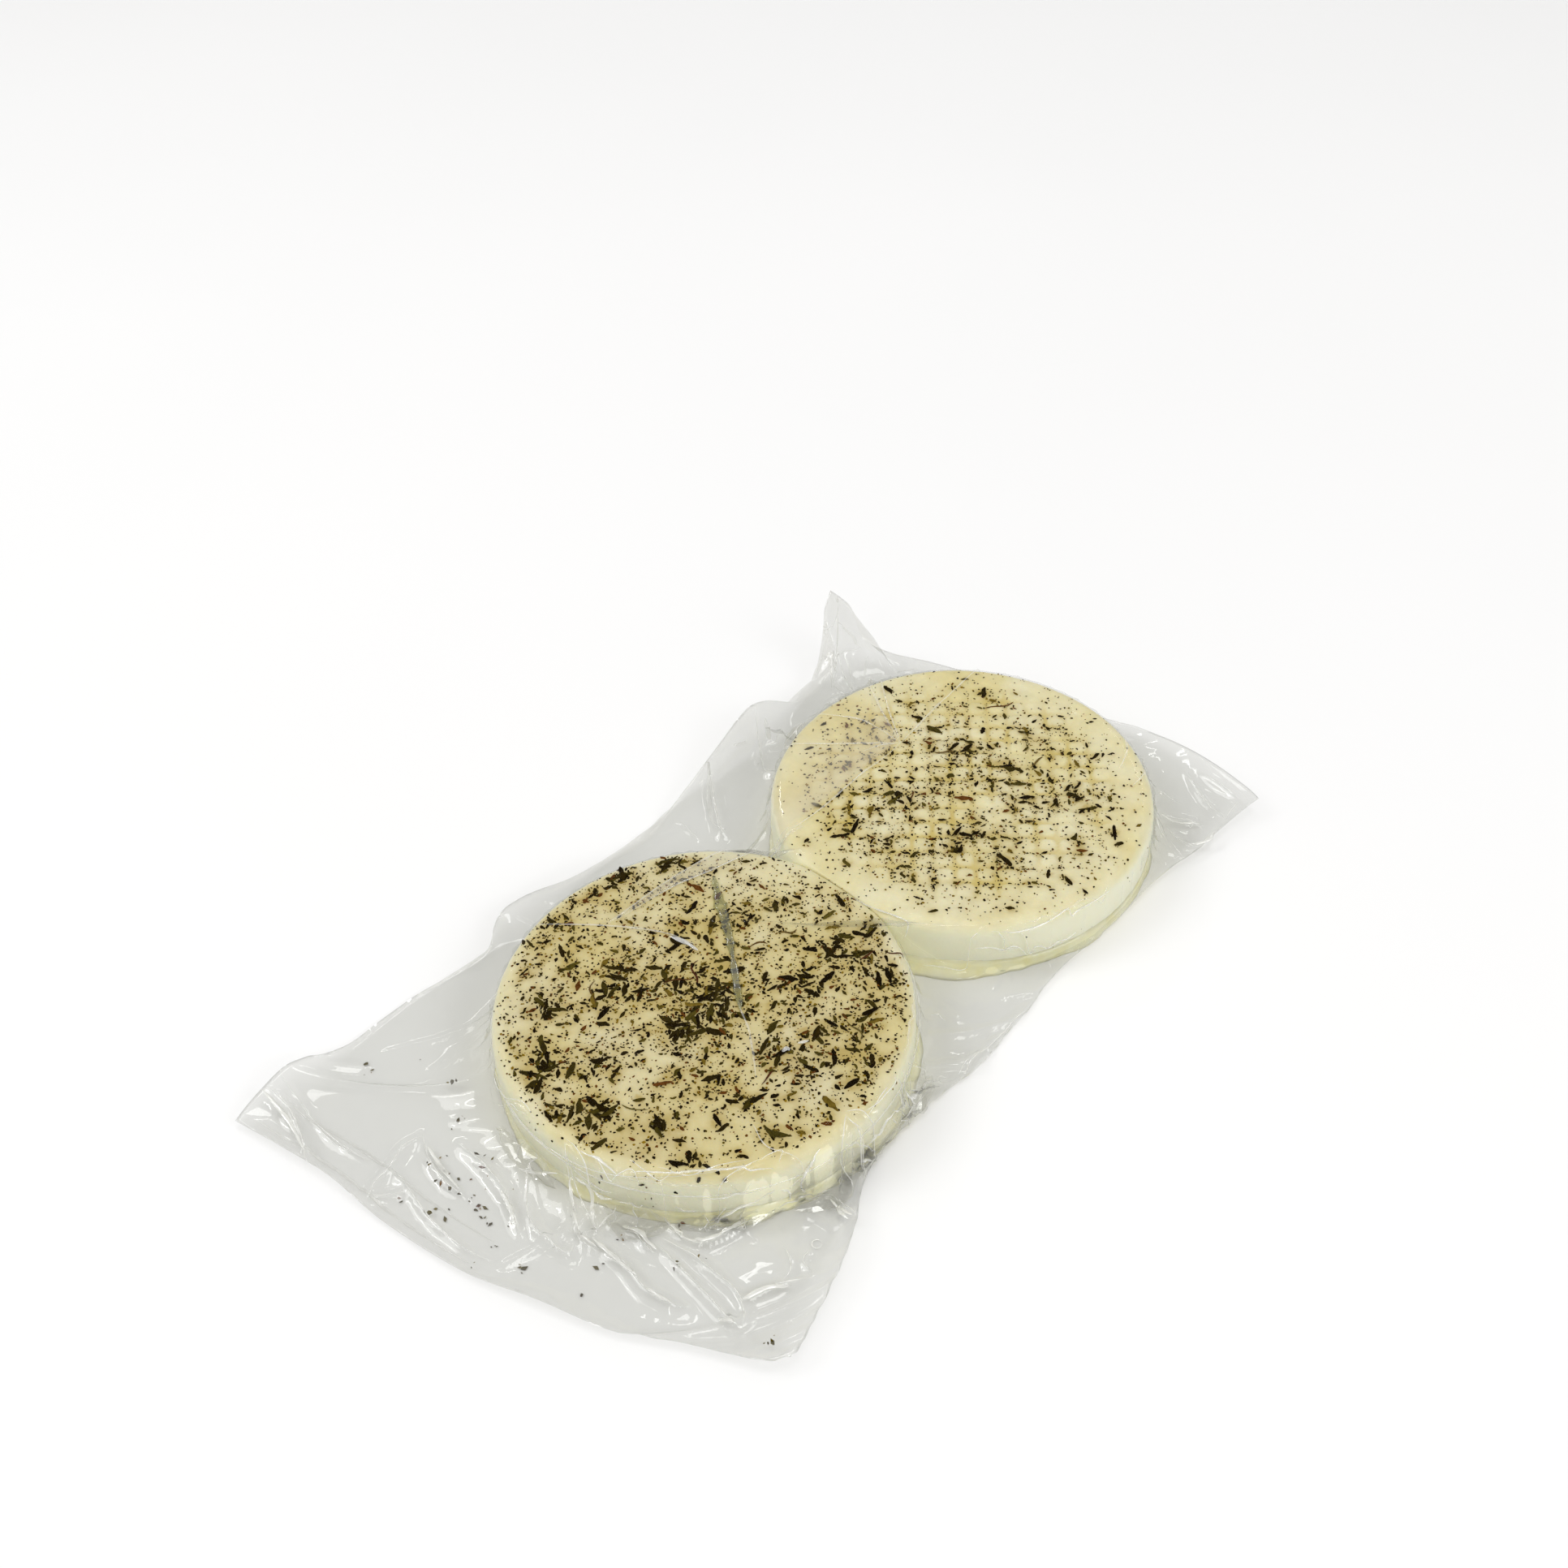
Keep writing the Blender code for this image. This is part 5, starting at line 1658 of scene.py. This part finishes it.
def scatter_crumbs(drape):
    """Fallen flakes under the film of the front margin."""
    draws = random.Random(17)
    crumbs = Spots()
    for x, y in CRUMB_SPOTS:
        for _ in range(draws.choice((1, 2, 2, 3, 4))):
            px = x + draws.gauss(0, 0.9)
            py = y + draws.gauss(0, 0.9)
            place = (px, py, max(0.3, drape.height(px, py) - 0.25))
            long = draws.choice((0.45, 0.7, 0.9, 1.3, 1.8))
            turn = (0.0, 0.0, draws.uniform(0, TURN))
            size = (long, long * draws.uniform(0.4, 0.8), 0.28)
            crumbs.add(place, turn, size, draws.uniform(0.25, 1.0))
    forms = [chip_form(f"crumb_{k}", draws) for k in range(5)]
    crumbs.scatter("loose_crumbs", forms, herb_paint("crumb", LEAF_TONES, 0.65), 5)


def tidy_normals(thing):
    """Turns every face outwards."""
    mesh = bmesh.new()
    mesh.from_mesh(thing.data)
    bmesh.ops.recalc_face_normals(mesh, faces=mesh.faces)
    mesh.to_mesh(thing.data)
    mesh.free()


# The floor's side in millimetres, and the lights in metres: name, place, size and power
FLOOR_SIZE = 3600.0
LIGHTS = [
    ("key", (-1.3, 1.7, 2.3), (1.5, 1.5), 21.0),
    ("top", (0.1, -0.3, 3.0), (1.2, 1.0), 17.0),
    ("right", (0.3, -2.3, 1.7), (1.2, 1.2), 19.0),
    ("strip_left", (-0.60, 0.75, 0.85), (0.07, 0.55), 1.1),
    ("strip_front", (-1.0, -0.15, 0.75), (0.06, 0.5), 1.0),
    ("strip_right", (-0.1, -1.0, 0.7), (0.5, 0.06), 0.9),
    ("strip_over", (0.34, 0.34, 1.20), (0.34, 0.07), 0.5),
    ("strip_far_left", (0.26, 1.04, 0.74), (0.34, 0.07), 0.5),
    ("strip_far_right", (1.04, 0.26, 0.74), (0.34, 0.07), 0.5),
]


class CheeseLooks(bpy.types.PropertyGroup):
    curd: FloatVectorProperty(name="Curd", description="Deeper tone of the curd", subtype="COLOR",
                              default=colour(240, 227, 169)[:3])
    pale: FloatVectorProperty(name="Pale curd", description="Lighter tone of the curd", subtype="COLOR",
                              default=colour(251, 245, 209)[:3])
    side: FloatVectorProperty(name="Side", description="Tone of the side", subtype="COLOR",
                              default=colour(254, 252, 223)[:3])
    stain: FloatVectorProperty(name="Stain", description="Tone that the herbs bleed", subtype="COLOR",
                               default=colour(178, 148, 52)[:3])
    groove: FloatVectorProperty(name="Groove", description="Tone in the mat's grooves", subtype="COLOR",
                                default=colour(212, 188, 98)[:3])


class HerbLooks(bpy.types.PropertyGroup):
    size: FloatProperty(name="Size", description="Scale of every flake", default=1.0)
    leaves: IntProperty(name="Leaves", description="Large flakes on the front cheese", default=170)
    shreds: IntProperty(name="Shreds", description="Small flakes on the front cheese", default=1150)
    specks: IntProperty(name="Specks", description="Dust grains on the front cheese", default=6500)
    back_share: FloatProperty(name="Back share", subtype="FACTOR", default=0.52,
                              description="Herbs on the back cheese for each on the front")
    seed: IntProperty(name="Seed", description="Seed of the scattering", default=7)


class StageLooks(bpy.types.PropertyGroup):
    distance: FloatProperty(name="Distance", description="Camera to its target", unit="LENGTH",
                            default=0.534)
    elevation: FloatProperty(name="Elevation", description="Camera over the floor", subtype="ANGLE",
                             default=math.radians(43.31))
    heading: FloatProperty(name="Heading", description="Way that the camera looks", subtype="ANGLE",
                           default=math.radians(44.93))
    roll: FloatProperty(name="Roll", description="Camera's tilt to the side", subtype="ANGLE",
                        default=math.radians(-2.53))
    lens: FloatProperty(name="Lens", description="Focal length in millimetres", default=40.19)
    target: FloatVectorProperty(name="Target", description="Point the camera looks at", subtype="XYZ",
                                unit="LENGTH", default=(0.0485, 0.0517, 0.0))


def add_light(name, place, size, power):
    """A soft light turned towards the middle of the floor."""
    data = bpy.data.lights.new(name, "AREA")
    data.shape = "RECTANGLE"
    data.size, data.size_y = size
    data.energy = power
    light = bpy.data.objects.new(name, data)
    light.location = place
    light.rotation_euler = (-Vector(place)).to_track_quat("-Z", "Y").to_euler()
    bpy.context.scene.collection.objects.link(light)


class CHEESE_OT_stage(bpy.types.Operator):
    """Make the floor, the soft studio light and the camera"""
    bl_idname = "cheese.stage"
    bl_label = "Stage"

    def execute(self, context):
        looks = context.scene.stage_looks
        paint = Paint("floor")
        pale = paint.greys(paint.noise(3.0, 2.0), (0.3, 0.93), (0.7, 0.945))
        paint.finish({"Base Color": pale, "Roughness": 0.85, "Specular IOR Level": 0.2})
        half = FLOOR_SIZE / 2
        corners = [(-half, -half, 0), (half, -half, 0), (half, half, 0), (-half, half, 0)]
        mesh_object("floor", corners, [(0, 1, 2, 3)], paint.material, False)
        world = bpy.data.worlds.new("studio")
        world.use_nodes = True
        sky = world.node_tree.nodes["Background"]
        sky.inputs["Color"].default_value = (1.0, 0.99, 0.975, 1.0)
        sky.inputs["Strength"].default_value = 0.44
        context.scene.world = world
        for light in LIGHTS:
            add_light(*light)
        context.scene.view_settings.view_transform = "Standard"
        data = bpy.data.cameras.new("camera")
        data.lens = looks.lens
        data.sensor_width = 36.0
        camera = bpy.data.objects.new("camera", data)
        context.scene.collection.objects.link(camera)
        e, h = looks.elevation, looks.heading
        forward = Vector((math.cos(h) * math.cos(e), math.sin(h) * math.cos(e), -math.sin(e)))
        right = forward.cross(Vector((0, 0, 1))).normalized()
        up = right.cross(forward)
        c, s = math.cos(looks.roll), math.sin(looks.roll)
        axes = Matrix((right * c + up * s, up * c - right * s, -forward)).transposed().to_4x4()
        camera.matrix_world = Matrix.Translation(Vector(looks.target) - forward * looks.distance) @ axes
        context.scene.camera = camera
        return {"FINISHED"}


class CHEESE_OT_rounds(bpy.types.Operator):
    """Make the two round cheeses in place of their solids"""
    bl_idname = "cheese.rounds"
    bl_label = "Cheeses"

    def execute(self, context):
        finish = cheese_paint()
        rounds = (("front_round", FRONT, "cheese_front"), ("back_round", BACK, "cheese_back"))
        for name, cheese, node in rounds:
            place_piece(cheese_mesh(name, cheese, finish), "cheese", node)
        return {"FINISHED"}


class CHEESE_OT_herbs(bpy.types.Operator):
    """Scatter broken leaves, shreds, dust and stems over the tops and in the pouch"""
    bl_idname = "cheese.herbs"
    bl_label = "Herbs"

    def execute(self, context):
        looks = context.scene.herb_looks
        draws = random.Random(looks.seed)
        leaf = herb_paint("leaf", LEAF_TONES, 0.55)
        dust = herb_paint("dust", SPECK_TONES, 0.7)
        wood = herb_paint("stem", STEM_TONES, 0.6)
        leaves, shreds, specks, stems = Spots(), Spots(), Spots(), Spots()
        beds = ((FRONT, FRONT_TUFTS, 4.2, 1.0), (BACK, BACK_TUFTS, 4.0, looks.back_share))
        for cheese, tufts, width, share in beds:
            chance = herb_density(cheese, tufts, width)
            lay_herbs(leaves, cheese, chance, LEAVES, int(looks.leaves * share), draws)
            lay_herbs(shreds, cheese, chance, SHREDS, int(looks.shreds * share), draws)
            lay_herbs(specks, cheese, evened(chance), SPECKS, int(looks.specks * share), draws)
            rim_chips(specks, cheese, 90, draws)
        for x, y in FRONT_TUFTS:
            lay_tuft(leaves, FRONT, x, y, draws.randint(2, 5), 2.6, draws, HERB_TONES[:8])
        for x, y in DARK_TUFTS:
            lay_tuft(leaves, FRONT, x, y, draws.randint(4, 8), 2.8, draws, HERB_TONES[:7])
        for x, y in BACK_TUFTS:
            lay_tuft(leaves, BACK, x, y, draws.randint(1, 4), 2.4, draws, HERB_TONES[:8])
        forms = [flake_form(f"leaf_{k}", 6, draws.gauss(0, 0.5), draws.uniform(0.0, 0.8), 0.3, 0.3, draws)
                 for k in range(14)]
        for cheese, name in ((FRONT, "front_round"), (BACK, "back_round")):
            bleed(bpy.data.objects[name], cheese, (leaves, shreds, specks))
        leaves.scatter("herb_leaves", forms, leaf, 1)
        forms = [flake_form(f"shred_{k}", 3, draws.gauss(0, 0.8), draws.uniform(0.0, 0.4), 0.2, 0.45, draws)
                 for k in range(12)]
        shreds.scatter("herb_shreds", forms, leaf, 2)
        forms = [chip_form(f"chip_{k}", draws) for k in range(8)]
        specks.scatter("herb_dust", forms, dust, 3)
        for x, y in STEM_SPOTS:
            turn = (0.0, 0.0, draws.uniform(0, TURN))
            size = (draws.uniform(5, 11), draws.uniform(0.45, 0.7), 0.45)
            stems.add((x, y, cheese_top(x, y) + 0.08), turn, size, draws.random())
        forms = [flake_form(f"stem_{k}", 7, draws.uniform(-9, 9), 0.1, 0.0, 0.15, draws) for k in range(5)]
        stems.scatter("herb_stems", forms, wood, 4)
        return {"FINISHED"}


class CHEESE_OT_pouch(bpy.types.Operator):
    """Suck the clear film down over the cheeses, with its creases, folds and fallen crumbs"""
    bl_idname = "cheese.pouch"
    bl_label = "Pouch"

    def execute(self, context):
        sheet = raise_ridges(cling(sucked_film()))
        clear = film_paint("film", 0.27, (0.915, 0.917, 0.91, 1.0), (0.93, 0.91, 0.82, 1.0))
        place_piece(film_mesh(sheet, clear), "film", "pouch")
        drape = Drape(sheet)
        pressed = pressed_lines(drape)
        pinched = film_paint("film_pinch", 0.16, (0.8, 0.81, 0.67, 1.0), (0.7, 0.7, 0.57, 1.0), 0.1)
        place_piece(crease_mesh("film_pinches", pressed[:PINCHES], pinched), "film")
        # White lines: whitened film, and on the glint lines painted highlights
        tint, milk = (1.0, 1.0, 0.995, 1.0), (0.98, 0.98, 0.95, 1.0)
        pale = film_paint("film_crease", 0.9, tint, milk, 0.03, 0.1, 0.4)
        # Crumpled facets, their brightness painted facet by facet
        tint, milk = (1.0, 1.0, 0.985, 1.0), (0.98, 0.97, 0.9, 1.0)
        crumpled = film_paint("film_tent", 0.14, tint, milk, 0.06, 0.1, 0.3)
        tents, folds = tent_mesh(drape, crumpled)
        place_piece(tents, "film")
        # Pale creases, weld marks and painted highlight lines, in one piece
        lines = pressed[PINCHES:] + painted_glint_lines(drape) + painted_rim_glint_lines() + seal_lines(drape) + folds
        place_piece(crease_mesh("film_creases", lines, pale), "film")
        place_piece(fold_band(drape, pale), "film")
        whey = whey_paint()
        for cheese in ROUNDS:
            place_piece(juice_mesh(cheese, whey), "cheese")
        scatter_crumbs(drape)
        return {"FINISHED"}


class CHEESE_PT_panel(bpy.types.Panel):
    bl_idname = "CHEESE_PT_panel"
    bl_label = "Pouched cheese"
    bl_space_type = "VIEW_3D"
    bl_region_type = "UI"
    bl_category = "Cheese"

    def draw(self, context):
        for operator in OPERATORS:
            self.layout.operator(operator.bl_idname)
        for key in GROUPS:
            group = getattr(context.scene, key)
            for name in group.bl_rna.properties.keys():
                if name not in ("rna_type", "name"):
                    self.layout.prop(group, name)


GROUPS = {"cheese_looks": CheeseLooks, "herb_looks": HerbLooks, "stage_looks": StageLooks}
OPERATORS = (CHEESE_OT_stage, CHEESE_OT_rounds, CHEESE_OT_herbs, CHEESE_OT_pouch)


def register():
    for kind in (*GROUPS.values(), *OPERATORS, CHEESE_PT_panel):
        bpy.utils.register_class(kind)
    for key, group in GROUPS.items():
        setattr(bpy.types.Scene, key, PointerProperty(type=group))


def unregister():
    for key in GROUPS:
        delattr(bpy.types.Scene, key)
    for kind in (CHEESE_PT_panel, *reversed(OPERATORS), *GROUPS.values()):
        bpy.utils.unregister_class(kind)


def main():
    register()
    bpy.ops.cheese.stage()
    bpy.ops.cheese.rounds()
    bpy.ops.cheese.herbs()
    bpy.ops.cheese.pouch()


if __name__ == "__main__":
    main()
